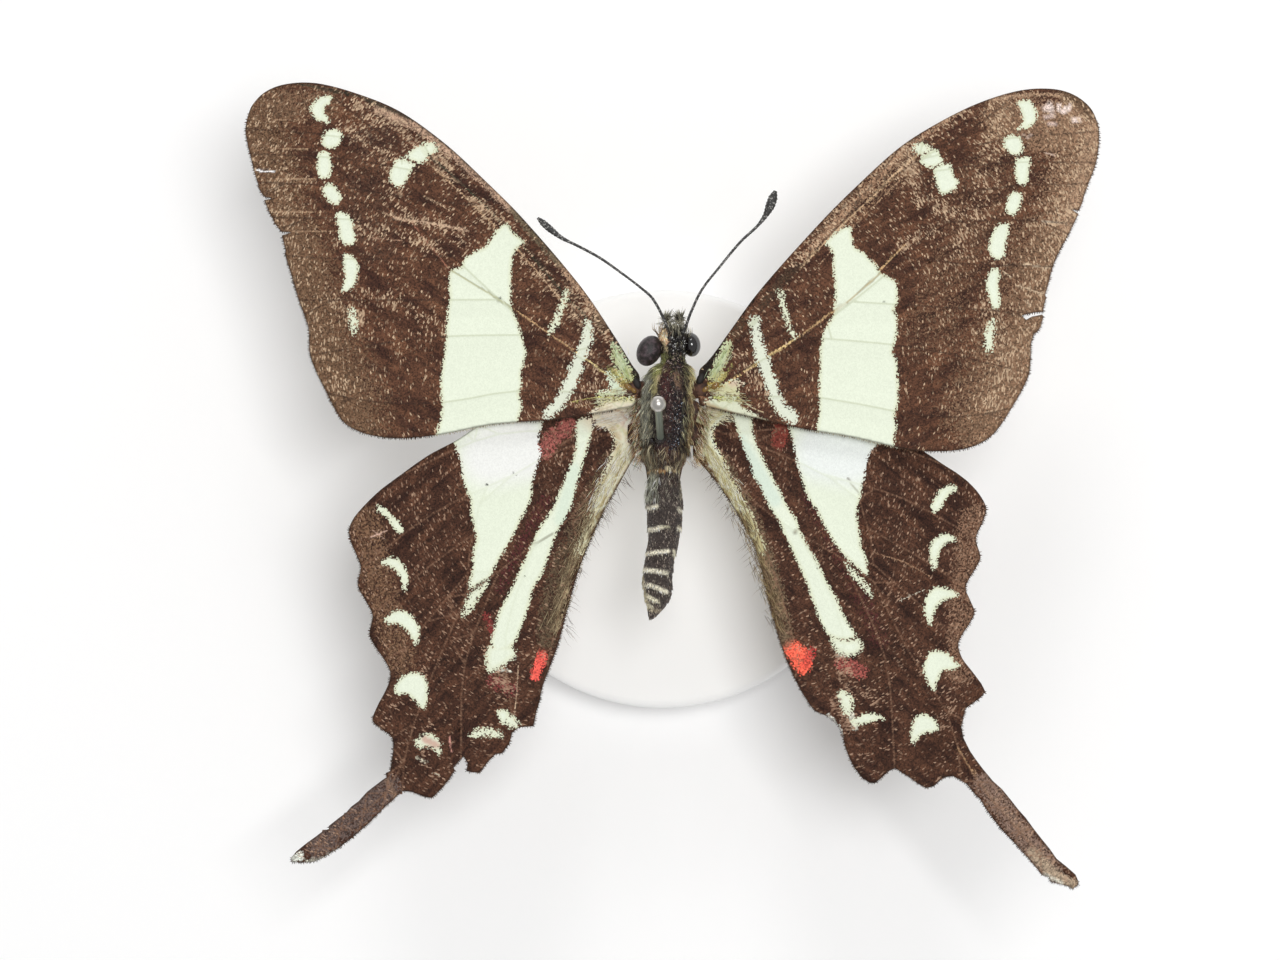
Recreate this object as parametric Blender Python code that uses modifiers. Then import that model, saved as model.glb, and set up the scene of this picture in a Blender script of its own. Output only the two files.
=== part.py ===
# A kite swallowtail butterfly, spread and pinned, on a plain round stand.
# +Z is up, +X runs across the spread wings and +Y towards the head. The origin is at
# the middle of the stand's underside. Sizes below are in millimetres, and every mesh
# is scaled by MM into metres when it is made.
import math

import bmesh
import bpy
import numpy as np
from mathutils import Matrix, Vector
from mathutils.geometry import delaunay_2d_cdt

MM = 0.001
GAP = 0.3
SHARP_ANGLE = math.radians(35)

# Stand: a round base, and the specimen's own pin leaning towards the head.
BASE_RADIUS = 15.0
BASE_HEIGHT = 5.0
BASE_BEVEL = 0.6
BASE_SEGMENTS = 48
PIN_RADIUS = 0.25
PIN_HEAD_RADIUS = 0.52
PIN_HEAD_STEPS = 7
PIN_SEGMENTS = 12
PIN_TOP = Vector((-0.45, 6.3, 32.3))
PIN_LEAN = Vector((-0.02, 0.21, 1.0))
PIN_FOOT_Z = 2.0
SOCKET_TOP_Z = 7.0
PIN_HOLE_Z = (15.0, 25.0)

# Wings: flat sheets, the forewing lying over the hindwing.
FOREWING_Z = 20.75
HINDWING_Z = 19.65
WING_RISE = 0.03
TAIL_DROOP = 0.05
TAIL_DROOP_FROM = -14.0
MEMBRANE = 0.5
RIDGE_HEIGHT = 0.12
RIDGE_HALF_WIDTH = 0.3
FOOT_ALLOWANCE = 0.015
OUTLINE_STEP = 0.9
VEIN_STEP = 2.0
EDGE_CLEARANCE = 0.3
MERGE_DISTANCE = 1e-4
STEM_STRENGTH = (1.0, 0.8)
BRANCH_STRENGTH = (0.8, 0.35)

# Body sections, each (y, x, z, half width, height above x z, depth below it).
THORAX_ROWS = (
    (2.3, 0.00, 19.9, 1.35, 1.3, 1.3),
    (3.2, 0.03, 20.0, 1.70, 1.9, 1.9),
    (4.7, 0.12, 20.1, 1.86, 2.3, 2.3),
    (6.6, 0.20, 20.2, 1.92, 2.4, 2.4),
    (8.2, 0.38, 20.2, 1.80, 2.1, 2.1),
    (9.0, 0.60, 20.2, 1.45, 1.6, 1.6),
    (9.3, 0.65, 20.2, 1.00, 1.1, 1.1),
)
ABDOMEN_ROWS = (
    (2.0, 0.00, 19.85, 1.15, 1.15, 1.15),
    (1.0, 0.00, 19.80, 1.28, 1.30, 1.30),
    (-0.4, 0.00, 19.70, 1.33, 1.40, 1.40),
    (-1.6, 0.02, 19.60, 1.22, 1.35, 1.35),
    (-2.8, -0.08, 19.50, 1.07, 1.25, 1.25),
    (-4.0, -0.30, 19.40, 1.05, 1.20, 1.20),
    (-5.4, -0.45, 19.30, 1.10, 1.15, 1.15),
    (-6.4, -0.42, 19.25, 1.05, 1.05, 1.05),
    (-7.1, -0.50, 19.20, 0.78, 0.85, 0.85),
    (-7.8, -0.72, 19.15, 0.38, 0.50, 0.50),
    (-8.2, -0.92, 19.15, 0.12, 0.20, 0.20),
)
THORAX_STEP = 0.75
ABDOMEN_STEP = 0.42
BODY_SEGMENTS = 20
ABDOMEN_JOINTS = (0.6, -0.5, -1.9, -3.5, -4.7, -5.9, -6.8)
JOINT_HALF_WIDTH = 0.28
JOINT_PINCH = 0.06

# Head. The left eye is turned up a little, as the head has rolled to its right.
HEAD_CENTRE = Vector((0.62, 10.75, 20.3))
HEAD_RADII = Vector((1.2, 1.15, 1.25))
HEAD_SEGMENTS = (20, 14)
EYES = {
    "eye_left": {"centre": Vector((-1.0, 10.25, 20.65)), "turn": math.radians(-23)},
    "eye_right": {"centre": Vector((1.86, 10.6, 20.1)), "turn": math.radians(18)},
}
EYE_RADII = Vector((0.78, 1.1, 0.95))
EYE_SEGMENTS = (16, 12)
PALP_SPREAD = 0.45
PALP_AHEAD = 1.5
PALP_DROP = 0.65
PALP_RADII = Vector((0.28, 0.28, 0.75))
PALP_TILT = math.radians(-14)
PALP_SEGMENTS = (10, 8)

# Proboscis: a flat coil under the head, from its outer end inwards.
PROBOSCIS_RADIUS = 0.25
PROBOSCIS_TURNS = 1.25
PROBOSCIS_INNER = 0.38
PROBOSCIS_OUTER = 1.15
PROBOSCIS_POINTS = 22
PROBOSCIS_STEP = 1.0

# Antennae, from the socket to the tip. The club takes up the last quarter.
ANTENNAE = {
    "antenna_left": (
        (0.30, 11.60, 21.75),
        (-0.40, 13.35, 22.05),
        (-1.60, 14.40, 22.20),
        (-3.00, 15.40, 22.25),
        (-4.30, 16.30, 22.25),
        (-5.70, 17.10, 22.20),
        (-7.10, 17.95, 22.10),
        (-8.50, 19.05, 21.95),
    ),
    "antenna_right": (
        (1.40, 11.60, 21.55),
        (1.85, 12.75, 21.85),
        (2.60, 14.20, 22.00),
        (3.80, 15.80, 22.10),
        (5.20, 17.40, 22.10),
        (6.40, 18.60, 22.00),
        (7.10, 19.60, 21.90),
        (7.50, 20.90, 21.80),
    ),
}
ANTENNA_STEP = 0.75
ANTENNA_RADII = ((0.0, 0.25), (0.74, 0.25), (0.86, 0.44), (0.95, 0.4), (1.0, 0.15))

# Legs, folded under the body: hip, knee, end of the shin and end of the foot, each
# (distance from the body's middle line, y, z).
LEGS = {
    "leg_fore": ((0.75, 8.1, 17.55), (1.10, 8.9, 16.5), (0.95, 7.4, 15.4), (0.45, 4.9, 14.9)),
    "leg_mid": ((0.95, 6.2, 17.3), (1.55, 6.9, 16.1), (1.35, 4.6, 15.1), (0.95, 2.2, 14.8)),
    "leg_hind": ((0.90, 4.3, 17.35), (1.40, 3.6, 16.4), (0.95, 1.0, 15.9), (0.65, -1.7, 15.7)),
}
LEG_RADII = ((0.0, 0.42), (0.3, 0.28), (0.6, 0.25), (1.0, 0.25))
LEG_STEP = 0.7

# Forewings. Each outline runs from the front of the root along the costa, round the
# outer margin and back along the hind margin; a name marks the point where that vein ends.
RIGHT_FOREWING = {
    "side": 1,
    "root_y": (8.75, 6.5),
    "outline": (
        (3.3, 9.8), (4.3, 11.2), (6.5, 14.2), (10.6, 18.8),
        (13.1, 21.3, "sc"), (16.0, 23.9, "r1"), (18.7, 25.6, "r2"), (21.4, 26.9),
        (24.1, 27.7, "r3"), (26.2, 27.8), (27.7, 27.4), (28.9, 26.4),
        (29.4, 24.9, "r4"), (29.2, 22.8, "r5"), (28.7, 21.4, "m1"), (27.7, 18.7, "m2"),
        (26.3, 15.8, "m3"), (25.6, 12.6, "cu1"), (24.85, 10.7), (24.7, 8.6, "cu2"),
        (23.5, 6.2, "a2"), (22.1, 4.3), (20.5, 3.5), (18.6, 3.3), (16.7, 3.4),
        (12.6, 4.3), (9.6, 4.8), (6.5, 5.5), (3.9, 6.1),
    ),
    "stems": {
        "radial": ((3.2, 8.3), (6.2, 12.3), (10.7, 17.4), (14.6, 21.1), (17.2, 23.0)),
        "cubital": ((3.0, 7.5), (5.2, 8.7), (9.2, 10.9), (12.6, 13.3), (16.3, 16.4), (18.6, 18.8)),
        "cell_end": ((17.2, 23.0), (17.7, 20.9), (18.6, 18.8)),
        "anal": ((3.0, 7.0), (10.8, 6.9), (15.7, 6.0), (20.0, 5.6), (23.5, 6.2)),
    },
}
LEFT_FOREWING = {
    "side": -1,
    "root_y": (8.3, 6.5),
    "outline": (
        (-2.2, 9.2), (-3.3, 11.0), (-5.6, 14.4), (-9.6, 19.1),
        (-12.2, 21.7, "sc"), (-14.8, 24.1, "r1"), (-17.9, 26.3, "r2"), (-20.8, 27.5),
        (-23.6, 28.2, "r3"), (-25.7, 28.1), (-27.1, 27.5), (-28.0, 26.4),
        (-28.3, 25.1, "r4"), (-28.0, 23.4, "r5"), (-27.5, 21.5, "m1"), (-26.5, 19.1, "m2"),
        (-25.6, 16.5, "m3"), (-24.7, 13.5, "cu1"), (-24.05, 11.6), (-23.95, 9.8, "cu2"),
        (-22.8, 7.2, "a2"), (-21.5, 5.1), (-19.4, 4.3), (-17.4, 4.2), (-14.8, 4.5),
        (-11.8, 5.1), (-7.1, 5.5), (-4.3, 5.95), (-3.0, 6.2),
    ),
    "stems": {
        "radial": ((-2.5, 8.1), (-5.0, 12.2), (-9.3, 17.2), (-13.4, 21.3), (-15.7, 23.0)),
        "cubital": ((-2.5, 7.6), (-4.3, 8.8), (-8.4, 11.3), (-11.0, 13.4), (-14.4, 16.6), (-16.6, 18.5)),
        "cell_end": ((-15.7, 23.0), (-15.9, 20.8), (-16.6, 18.5)),
        "anal": ((-2.5, 7.1), (-9.8, 7.4), (-15.0, 6.6), (-19.2, 6.6), (-22.8, 7.2)),
    },
}
# Branches: vein, the stem that it leaves, how far along that stem, and its bow.
FOREWING_BRANCHES = (
    ("sc", "radial", 0.06, -0.02),
    ("r1", "radial", 0.55, -0.02),
    ("r2", "radial", 0.78, -0.03),
    ("r3", "radial", 1.00, -0.04),
    ("r4", "radial", 1.00, 0.04),
    ("r5", "cell_end", 0.20, 0.03),
    ("m1", "cell_end", 0.62, 0.03),
    ("m2", "cubital", 1.00, 0.02),
    ("m3", "cubital", 0.83, -0.02),
    ("cu1", "cubital", 0.59, 0.0),
    ("cu2", "cubital", 0.38, 0.03),
)

# Hindwings. "front" runs from the root along the costa and down the scalloped margin to
# the tail, "tail" is the tail's middle line, and "rear" runs from the tail to the root.
RIGHT_HINDWING = {
    "side": 1,
    "root_y": (5.9, 3.1),
    "front": (
        (4.5, 6.1), (8.0, 6.3), (12.0, 5.9), (15.0, 4.8), (17.5, 3.4), (19.0, 2.4, "sc"),
        (20.7, 1.2), (21.9, -0.6), (21.2, -2.6, "rs"), (21.5, -3.9),
        (20.5, -6.0, "m1"), (21.1, -7.6), (20.0, -9.8, "m2"), (20.6, -11.3),
        (21.8, -13.1), (20.6, -14.2), (20.2, -15.6), (20.6, -17.0),
    ),
    "tail": ((21.3, -19.1), (22.4, -20.5), (23.9, -22.2), (25.6, -24.2), (27.7, -26.2)),
    "tail_half_width": 0.85,
    "rear": (
        (20.2, -19.1), (19.4, -18.8), (18.2, -19.5), (17.0, -19.1), (15.7, -18.2, "cu1"),
        (14.8, -18.8), (14.0, -19.3), (13.1, -18.5), (12.4, -17.0), (12.1, -15.6, "cu2"),
        (11.1, -14.8), (10.2, -14.2), (9.3, -12.9), (8.2, -10.5), (7.3, -7.5),
        (6.3, -3.5), (5.2, -1.3), (3.8, 0.9),
    ),
    "stems": {
        "radial": ((3.2, 4.9), (7.9, 3.1), (11.3, 1.5), (13.3, 0.0)),
        "cubital": ((3.0, 4.0), (5.2, 0.9), (7.5, -1.2), (9.6, -2.5), (12.3, -4.1), (14.3, -5.6)),
        "cell_end": ((13.3, 0.0), (14.1, -2.8), (14.3, -5.6)),
        "tail": ((14.3, -5.6), (16.6, -10.2), (19.2, -14.4), (20.0, -16.8), (21.3, -19.1), (25.6, -24.2)),
        "anal": ((2.8, 3.5), (5.7, -0.6), (7.7, -5.5), (9.2, -11.0)),
    },
}
LEFT_HINDWING = {
    "side": -1,
    "root_y": (5.9, 3.1),
    "front": (
        (-4.2, 6.1), (-7.5, 6.4), (-11.0, 6.0), (-14.2, 4.0), (-15.9, 3.1), (-17.9, 1.7, "sc"),
        (-19.9, 0.1), (-21.4, -2.0), (-20.6, -4.6, "rs"), (-20.8, -5.8),
        (-19.8, -7.8, "m1"), (-20.0, -9.2), (-18.6, -11.7, "m2"), (-19.0, -13.1),
        (-19.8, -15.0), (-18.5, -16.1), (-18.5, -17.6), (-18.7, -18.6),
    ),
    "tail": ((-18.9, -19.9), (-20.5, -21.2), (-22.0, -22.5), (-23.6, -23.6), (-24.9, -24.3)),
    "tail_half_width": 0.78,
    "rear": (
        (-17.8, -20.0), (-17.0, -19.7), (-16.0, -20.3), (-14.7, -19.1), (-13.8, -17.9, "cu1"),
        (-13.3, -18.7), (-12.6, -18.8), (-11.6, -17.7), (-10.7, -17.1), (-10.2, -15.7, "cu2"),
        (-9.2, -15.4), (-8.7, -14.4), (-8.2, -12.5), (-7.3, -10.1), (-6.4, -6.8),
        (-5.6, -4.2), (-4.2, -1.0), (-3.1, 1.0),
    ),
    "stems": {
        "radial": ((-2.9, 4.8), (-7.0, 3.4), (-10.4, 1.6), (-12.5, -0.2)),
        "cubital": ((-2.7, 3.8), (-5.4, -0.1), (-7.6, -2.3), (-9.1, -3.2), (-11.3, -4.9), (-13.4, -6.4)),
        "cell_end": ((-12.5, -0.2), (-13.2, -3.3), (-13.4, -6.4)),
        "tail": (
            (-13.4, -6.4), (-15.4, -11.0), (-17.0, -15.2), (-17.7, -17.8), (-18.9, -19.9),
            (-23.6, -23.6),
        ),
        "anal": ((-2.6, 3.3), (-4.9, -0.8), (-6.6, -5.5), (-7.9, -11.0)),
    },
}
HINDWING_BRANCHES = (
    ("sc", "radial", 0.10, 0.10),
    ("rs", "radial", 0.72, 0.05),
    ("m1", "cell_end", 0.35, 0.02),
    ("m2", "cell_end", 0.78, 0.02),
    ("cu1", "cubital", 0.82, 0.08),
    ("cu2", "cubital", 0.62, 0.10),
)


def coordinates(outline):
    # The outline's points without the names of the veins that end there.
    return [point[:2] for point in outline]


def vein_ends(shape):
    points = [*shape.get("outline", ()), *shape.get("front", ()), *shape.get("rear", ())]
    return {point[2]: point[:2] for point in points if len(point) == 3}


def smooth_line(points, step):
    # Points about step apart on a smooth curve that passes through every given point.
    knots = np.array(points, float)
    gaps = np.linalg.norm(np.diff(knots, axis=0), axis=1)
    slopes = np.empty_like(knots)
    slopes[1:-1] = (knots[2:] - knots[:-2]) / (gaps[1:] + gaps[:-1])[:, None]
    slopes[0] = (knots[1] - knots[0]) / gaps[0]
    slopes[-1] = (knots[-1] - knots[-2]) / gaps[-1]
    line = []
    for i, gap in enumerate(gaps):
        count = max(1, round(gap / step))
        for k in range(count):
            t = k / count
            line.append(
                knots[i] * (1 + 2 * t) * (1 - t) ** 2
                + slopes[i] * gap * t * (1 - t) ** 2
                + knots[i + 1] * (3 - 2 * t) * t**2
                - slopes[i + 1] * gap * (1 - t) * t**2
            )
    line.append(knots[-1])
    return np.array(line)


def point_along(line, fraction):
    gaps = np.linalg.norm(np.diff(line, axis=0), axis=1)
    reached = np.concatenate([[0.0], np.cumsum(gaps)])
    target = fraction * reached[-1]
    return np.array([np.interp(target, reached, line[:, axis]) for axis in range(line.shape[1])])


def bowed_line(start, end, bow, step):
    # An arc from start to end that stands off the chord by bow times its length.
    start, end = np.array(start, float), np.array(end, float)
    chord = end - start
    middle = (start + end) / 2 + np.array([-chord[1], chord[0]]) * bow
    return smooth_line([start, middle, end], step)


def distance_to_line(points, line):
    # The distance of each point from the nearest place on the line.
    starts, spans = line[:-1], np.diff(line, axis=0)
    offsets = points[:, None, :] - starts[None, :, :]
    share = (offsets * spans).sum(axis=2) / (spans**2).sum(axis=1)
    nearest = starts + np.clip(share, 0, 1)[:, :, None] * spans
    return np.linalg.norm(points[:, None, :] - nearest, axis=2).min(axis=1)


def inside(points, outline):
    # Whether each point lies inside the closed outline, by counting crossings.
    found = np.zeros(len(points), bool)
    for (x0, y0), (x1, y1) in zip(outline, np.roll(outline, -1, axis=0)):
        spans = (y0 > points[:, 1]) != (y1 > points[:, 1])
        rise = (y1 - y0) if y1 != y0 else 1.0
        found ^= spans & (points[:, 0] < x0 + (points[:, 1] - y0) * (x1 - x0) / rise)
    return found


def thorax_side(y, side):
    # The x of the thorax's own side at y, at its widest level.
    rows = np.array(THORAX_ROWS)
    return np.interp(y, rows[:, 0], rows[:, 1] + side * rows[:, 3])


def body_middle(y):
    # The x of the bent body's middle line at y.
    rows = np.array([*ABDOMEN_ROWS[::-1], *THORAX_ROWS])
    return np.interp(y, rows[:, 0], rows[:, 1])


def root_points(shape):
    side = shape["side"]
    return [(thorax_side(y, side) + side * GAP, y) for y in shape["root_y"]]


def tail_strap(shape):
    # The tail's two edges, off its middle line, joined by a round tip.
    middle = smooth_line(shape["tail"], OUTLINE_STEP)
    half = shape["tail_half_width"]
    along = np.gradient(middle, axis=0)
    along /= np.linalg.norm(along, axis=1)[:, None]
    across = np.stack([-along[:, 1], along[:, 0]], axis=1) * half * shape["side"]
    heading = math.atan2(*(across[-1][::-1]))
    turns = [heading - shape["side"] * math.pi * k / 4 for k in (1, 2, 3)]
    tip = [middle[-1] + half * np.array([math.cos(turn), math.sin(turn)]) for turn in turns]
    return [*(middle + across), *tip, *(middle - across)[::-1]]


def wing_outline(shape):
    # The closed outline, from the front of the root round to its back.
    front_root, rear_root = root_points(shape)
    if "outline" in shape:
        return smooth_line([front_root, *coordinates(shape["outline"]), rear_root], OUTLINE_STEP)
    front = smooth_line([front_root, *coordinates(shape["front"])], OUTLINE_STEP)
    rear = smooth_line([*coordinates(shape["rear"]), rear_root], OUTLINE_STEP)
    return np.array([*front, *tail_strap(shape), *rear])


def wing_veins(shape, branches):
    # Each vein as its line and its strength at its start and end.
    ends = vein_ends(shape)
    stems = {name: smooth_line(points, VEIN_STEP) for name, points in shape["stems"].items()}
    veins = [(line, *STEM_STRENGTH) for line in stems.values()]
    for name, stem, fraction, bow in branches:
        start = point_along(stems[stem], fraction)
        line = bowed_line(start, ends[name], bow * shape["side"], VEIN_STEP)
        veins.append((line, *BRANCH_STRENGTH))
    return veins


def ridge_feet(veins, outline):
    # Points on both sides of every vein where its ridge runs out into the membrane.
    feet = []
    for line, _, _ in veins:
        along = np.gradient(line, axis=0)
        across = np.stack([-along[:, 1], along[:, 0]], axis=1)
        across *= RIDGE_HALF_WIDTH / np.linalg.norm(across, axis=1)[:, None]
        feet += [line + across, line - across]
    feet = np.concatenate(feet)
    closed = np.vstack([outline, outline[:1]])
    keep = inside(feet, outline) & (distance_to_line(feet, closed) > EDGE_CLEARANCE)
    for line, _, _ in veins:
        keep &= distance_to_line(feet, line) > RIDGE_HALF_WIDTH - FOOT_ALLOWANCE
    return feet[keep]


def ridge_share(points, veins):
    # How much of the ridge's height each point carries: 1 on a strong vein, 0 off it.
    share = np.zeros(len(points))
    for line, start, end in veins:
        reach = np.linalg.norm(points - line[0], axis=1) / np.linalg.norm(line[-1] - line[0])
        strength = start + (end - start) * np.clip(reach, 0, 1)
        slope = 1 - distance_to_line(points, line) / RIDGE_HALF_WIDTH
        share = np.maximum(share, strength * np.clip(slope, 0, 1))
    return share


def wing_height(x, y, level):
    droop = max(0.0, TAIL_DROOP_FROM - y) * TAIL_DROOP
    return level + WING_RISE * abs(x) - droop


def make_wing(name, shape, branches, level, material):
    outline = wing_outline(shape)
    if shape["side"] > 0:
        outline = outline[::-1]
    veins = wing_veins(shape, branches)
    points = [Vector(point) for point in outline]
    edges = []
    for line, _, _ in veins:
        first = len(points)
        points += [Vector(point) for point in line]
        edges += [(i, i + 1) for i in range(first, first + len(line) - 1)]
    points += [Vector(point) for point in ridge_feet(veins, outline)]
    border = list(range(len(outline)))
    spots, _, triangles = delaunay_2d_cdt(points, edges, [border], 1, MERGE_DISTANCE)[:3]
    bm = bmesh.new()
    verts = [bm.verts.new((x, y, wing_height(x, y, level))) for x, y in spots]
    for triangle in triangles:
        bm.faces.new([verts[i] for i in triangle])
    loose = [vert for vert in bm.verts if not vert.link_faces]
    bmesh.ops.delete(bm, geom=loose, context="VERTS")
    spots = np.array([vert.co[:2] for vert in bm.verts])
    wing = finish_object(name, bm, material)
    group = wing.vertex_groups.new(name="veins")
    for index, share in enumerate(ridge_share(spots, veins)):
        group.add([index], share, "REPLACE")
    full = MEMBRANE + 2 * RIDGE_HEIGHT
    solidify = wing.modifiers.new("thickness", "SOLIDIFY")
    solidify.thickness = full * MM
    solidify.offset = 0
    solidify.vertex_group = group.name
    solidify.thickness_vertex_group = MEMBRANE / full
    return wing


def clear_scene():
    for obj in list(bpy.data.objects):
        bpy.data.objects.remove(obj, do_unlink=True)


def new_collection(name):
    collection = bpy.data.collections.new(name)
    bpy.context.scene.collection.children.link(collection)
    return collection


def new_material(name, colour, roughness, metallic=0.0):
    material = bpy.data.materials.new(name)
    material.use_nodes = True
    shader = material.node_tree.nodes["Principled BSDF"]
    shader.inputs["Base Color"].default_value = (*colour, 1.0)
    shader.inputs["Roughness"].default_value = roughness
    shader.inputs["Metallic"].default_value = metallic
    return material


def finish_object(name, bm, material, collection=None):
    # Scales the bmesh from millimetres to metres and makes it an object.
    bmesh.ops.recalc_face_normals(bm, faces=bm.faces)
    bmesh.ops.scale(bm, vec=(MM, MM, MM), verts=bm.verts)
    mesh = bpy.data.meshes.new(name)
    bm.to_mesh(mesh)
    bm.free()
    mesh.shade_smooth()
    mesh.set_sharp_from_angle(angle=SHARP_ANGLE)
    if material:
        mesh.materials.append(material)
    obj = bpy.data.objects.new(name, mesh)
    (collection or specimen).objects.link(obj)
    return obj


def finish_cutter(name, bm):
    cutter = finish_object(name, bm, None, cutters)
    cutter.hide_render = True
    cutter.display_type = "WIRE"
    return cutter


def cut(obj, cutter):
    boolean = obj.modifiers.new(cutter.name, "BOOLEAN")
    boolean.operation = "DIFFERENCE"
    boolean.object = cutter


def add_rod(bm, start, end, radius, segments):
    # A plain round rod between two points.
    start, end = Vector(start), Vector(end)
    turn = Vector((0, 0, 1)).rotation_difference(end - start).to_matrix().to_4x4()
    bmesh.ops.create_cone(
        bm,
        cap_ends=True,
        segments=segments,
        radius1=radius,
        radius2=radius,
        depth=(end - start).length,
        matrix=Matrix.Translation((start + end) / 2) @ turn,
    )


def ellipsoid(centre, radii, turn, segments, rings):
    bm = bmesh.new()
    shape = Matrix.Translation(centre) @ turn @ Matrix.Diagonal((*radii, 1.0))
    bmesh.ops.create_uvsphere(bm, u_segments=segments, v_segments=rings, radius=1, matrix=shape)
    return bm


def make_tube(name, points, radii, step, material):
    # A round tube through the points, whose radius follows the list radii along it.
    line = smooth_line(points, step)
    gaps = np.linalg.norm(np.diff(line, axis=0), axis=1)
    reached = np.concatenate([[0.0], np.cumsum(gaps)])
    reached /= reached[-1]
    stations, sizes = zip(*radii)
    curve = bpy.data.curves.new(name, "CURVE")
    curve.dimensions = "3D"
    curve.bevel_depth = MM
    curve.bevel_resolution = 2
    curve.use_fill_caps = True
    curve.use_radius = True
    spline = curve.splines.new("POLY")
    spline.points.add(len(line) - 1)
    for spot, position, share in zip(spline.points, line, reached):
        spot.co = (*(position * MM), 1.0)
        spot.radius = float(np.interp(share, stations, sizes))
    spline.use_smooth = True
    curve.materials.append(material)
    tube = bpy.data.objects.new(name, curve)
    specimen.objects.link(tube)
    return tube


def lofted_body(rows, segments):
    # A round body on rings, each (y, x, z, half width, height, depth), with flat ends.
    bm = bmesh.new()
    bmesh.ops.create_uvsphere(bm, u_segments=segments, v_segments=len(rows) + 1, radius=1)
    for vert in bm.verts:
        polar = math.acos(max(-1.0, min(1.0, vert.co.z))) / math.pi
        ring = round(polar * (len(rows) + 1)) - 1
        is_pole = not 0 <= ring < len(rows)
        y, x, z, half, height, depth = rows[min(max(ring, 0), len(rows) - 1)]
        around = Vector(vert.co[:2]).normalized() * (0.0 if is_pole else 1.0)
        reach = height if around.y > 0 else depth
        vert.co = (x + around.x * half, y, z + around.y * reach)
    return bm


def pin_point(z):
    return PIN_TOP + PIN_LEAN * (z - PIN_TOP.z)


def make_base(material):
    bm = bmesh.new()
    add_rod(bm, (0, 0, 0), (0, 0, BASE_HEIGHT), BASE_RADIUS, BASE_SEGMENTS)
    rims = [edge for edge in bm.edges if edge.calc_face_angle() > SHARP_ANGLE]
    bmesh.ops.bevel(
        bm, geom=rims, offset=BASE_BEVEL, segments=2, profile=0.5, affect="EDGES"
    )
    base = finish_object("stand_base", bm, material)
    bm = bmesh.new()
    foot = pin_point(PIN_FOOT_Z - GAP)
    add_rod(bm, foot, pin_point(SOCKET_TOP_Z), PIN_RADIUS + GAP, PIN_SEGMENTS)
    cut(base, finish_cutter("pin_socket", bm))


def make_pin(material):
    # Half the pin's section, turned about its own axis: a straight shaft and a round head.
    length = (pin_point(PIN_FOOT_Z) - PIN_TOP).length
    head_start = -math.acos(PIN_RADIUS / PIN_HEAD_RADIUS)
    turns = np.linspace(head_start, math.pi / 2, PIN_HEAD_STEPS)[:-1]
    profile = [(0.0, 0.0), (PIN_RADIUS, 0.0)]
    for turn in turns:
        height = length + PIN_HEAD_RADIUS * math.sin(turn)
        profile.append((PIN_HEAD_RADIUS * math.cos(turn), height))
    profile.append((0.0, length + PIN_HEAD_RADIUS))
    bm = bmesh.new()
    spots = [bm.verts.new((x, 0, z)) for x, z in reversed(profile)]
    for first, second in zip(spots, spots[1:]):
        bm.edges.new((first, second))
    pin = finish_object("stand_pin", bm, material)
    screw = pin.modifiers.new("turned", "SCREW")
    screw.steps = screw.render_steps = PIN_SEGMENTS
    screw.use_merge_vertices = True
    screw.merge_threshold = 1e-5
    screw.use_normal_calculate = True
    pin.location = pin_point(PIN_FOOT_Z) * MM
    pin.rotation_euler = Vector((0, 0, 1)).rotation_difference(PIN_LEAN).to_euler()


def make_thorax(material):
    rows = smooth_line(THORAX_ROWS, THORAX_STEP)
    thorax = finish_object("thorax", lofted_body(rows, BODY_SEGMENTS), material)
    bm = bmesh.new()
    bottom, top = PIN_HOLE_Z
    add_rod(bm, pin_point(bottom), pin_point(top), PIN_RADIUS + GAP, PIN_SEGMENTS)
    cut(thorax, finish_cutter("pin_hole", bm))


def make_abdomen(material):
    rows = smooth_line(ABDOMEN_ROWS, ABDOMEN_STEP)
    for joint in ABDOMEN_JOINTS:
        near = np.clip(1 - np.abs(rows[:, 0] - joint) / JOINT_HALF_WIDTH, 0, 1)
        rows[:, 3:] *= (1 - JOINT_PINCH * near)[:, None]
    finish_object("abdomen", lofted_body(rows, BODY_SEGMENTS), material)


def make_head(skin, eye_black):
    skull = ellipsoid(HEAD_CENTRE, HEAD_RADII, Matrix(), *HEAD_SEGMENTS)
    head = finish_object("head", skull, skin)
    room = Vector((GAP, GAP, GAP))
    for name, eye in EYES.items():
        turn = Matrix.Rotation(eye["turn"], 4, "Z")
        ball = ellipsoid(eye["centre"], EYE_RADII, turn, *EYE_SEGMENTS)
        finish_object(name, ball, eye_black)
        socket = ellipsoid(eye["centre"], EYE_RADII + room, turn, *HEAD_SEGMENTS)
        cut(head, finish_cutter(name + "_socket", socket))


def make_palps(material):
    turn = Matrix.Rotation(PALP_TILT, 4, "X")
    for name, side in (("palp_left", -1), ("palp_right", 1)):
        centre = HEAD_CENTRE + Vector((PALP_SPREAD * side, PALP_AHEAD, -PALP_DROP))
        finish_object(name, ellipsoid(centre, PALP_RADII, turn, *PALP_SEGMENTS), material)


def make_proboscis(material):
    reach = HEAD_RADII.z + GAP + PROBOSCIS_RADIUS + PROBOSCIS_OUTER
    centre = HEAD_CENTRE - Vector((0, 0, reach))
    turns = np.linspace(0, PROBOSCIS_TURNS * 2 * math.pi, PROBOSCIS_POINTS)
    points = []
    for turn in turns:
        radius = PROBOSCIS_OUTER - (PROBOSCIS_OUTER - PROBOSCIS_INNER) * turn / turns[-1]
        points.append(centre + Vector((0, math.sin(turn), math.cos(turn))) * radius)
    sizes = ((0.0, PROBOSCIS_RADIUS), (1.0, PROBOSCIS_RADIUS))
    make_tube("proboscis", points, sizes, PROBOSCIS_STEP, material)


def make_antennae(material):
    for name, points in ANTENNAE.items():
        make_tube(name, points, ANTENNA_RADII, ANTENNA_STEP, material)


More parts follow.
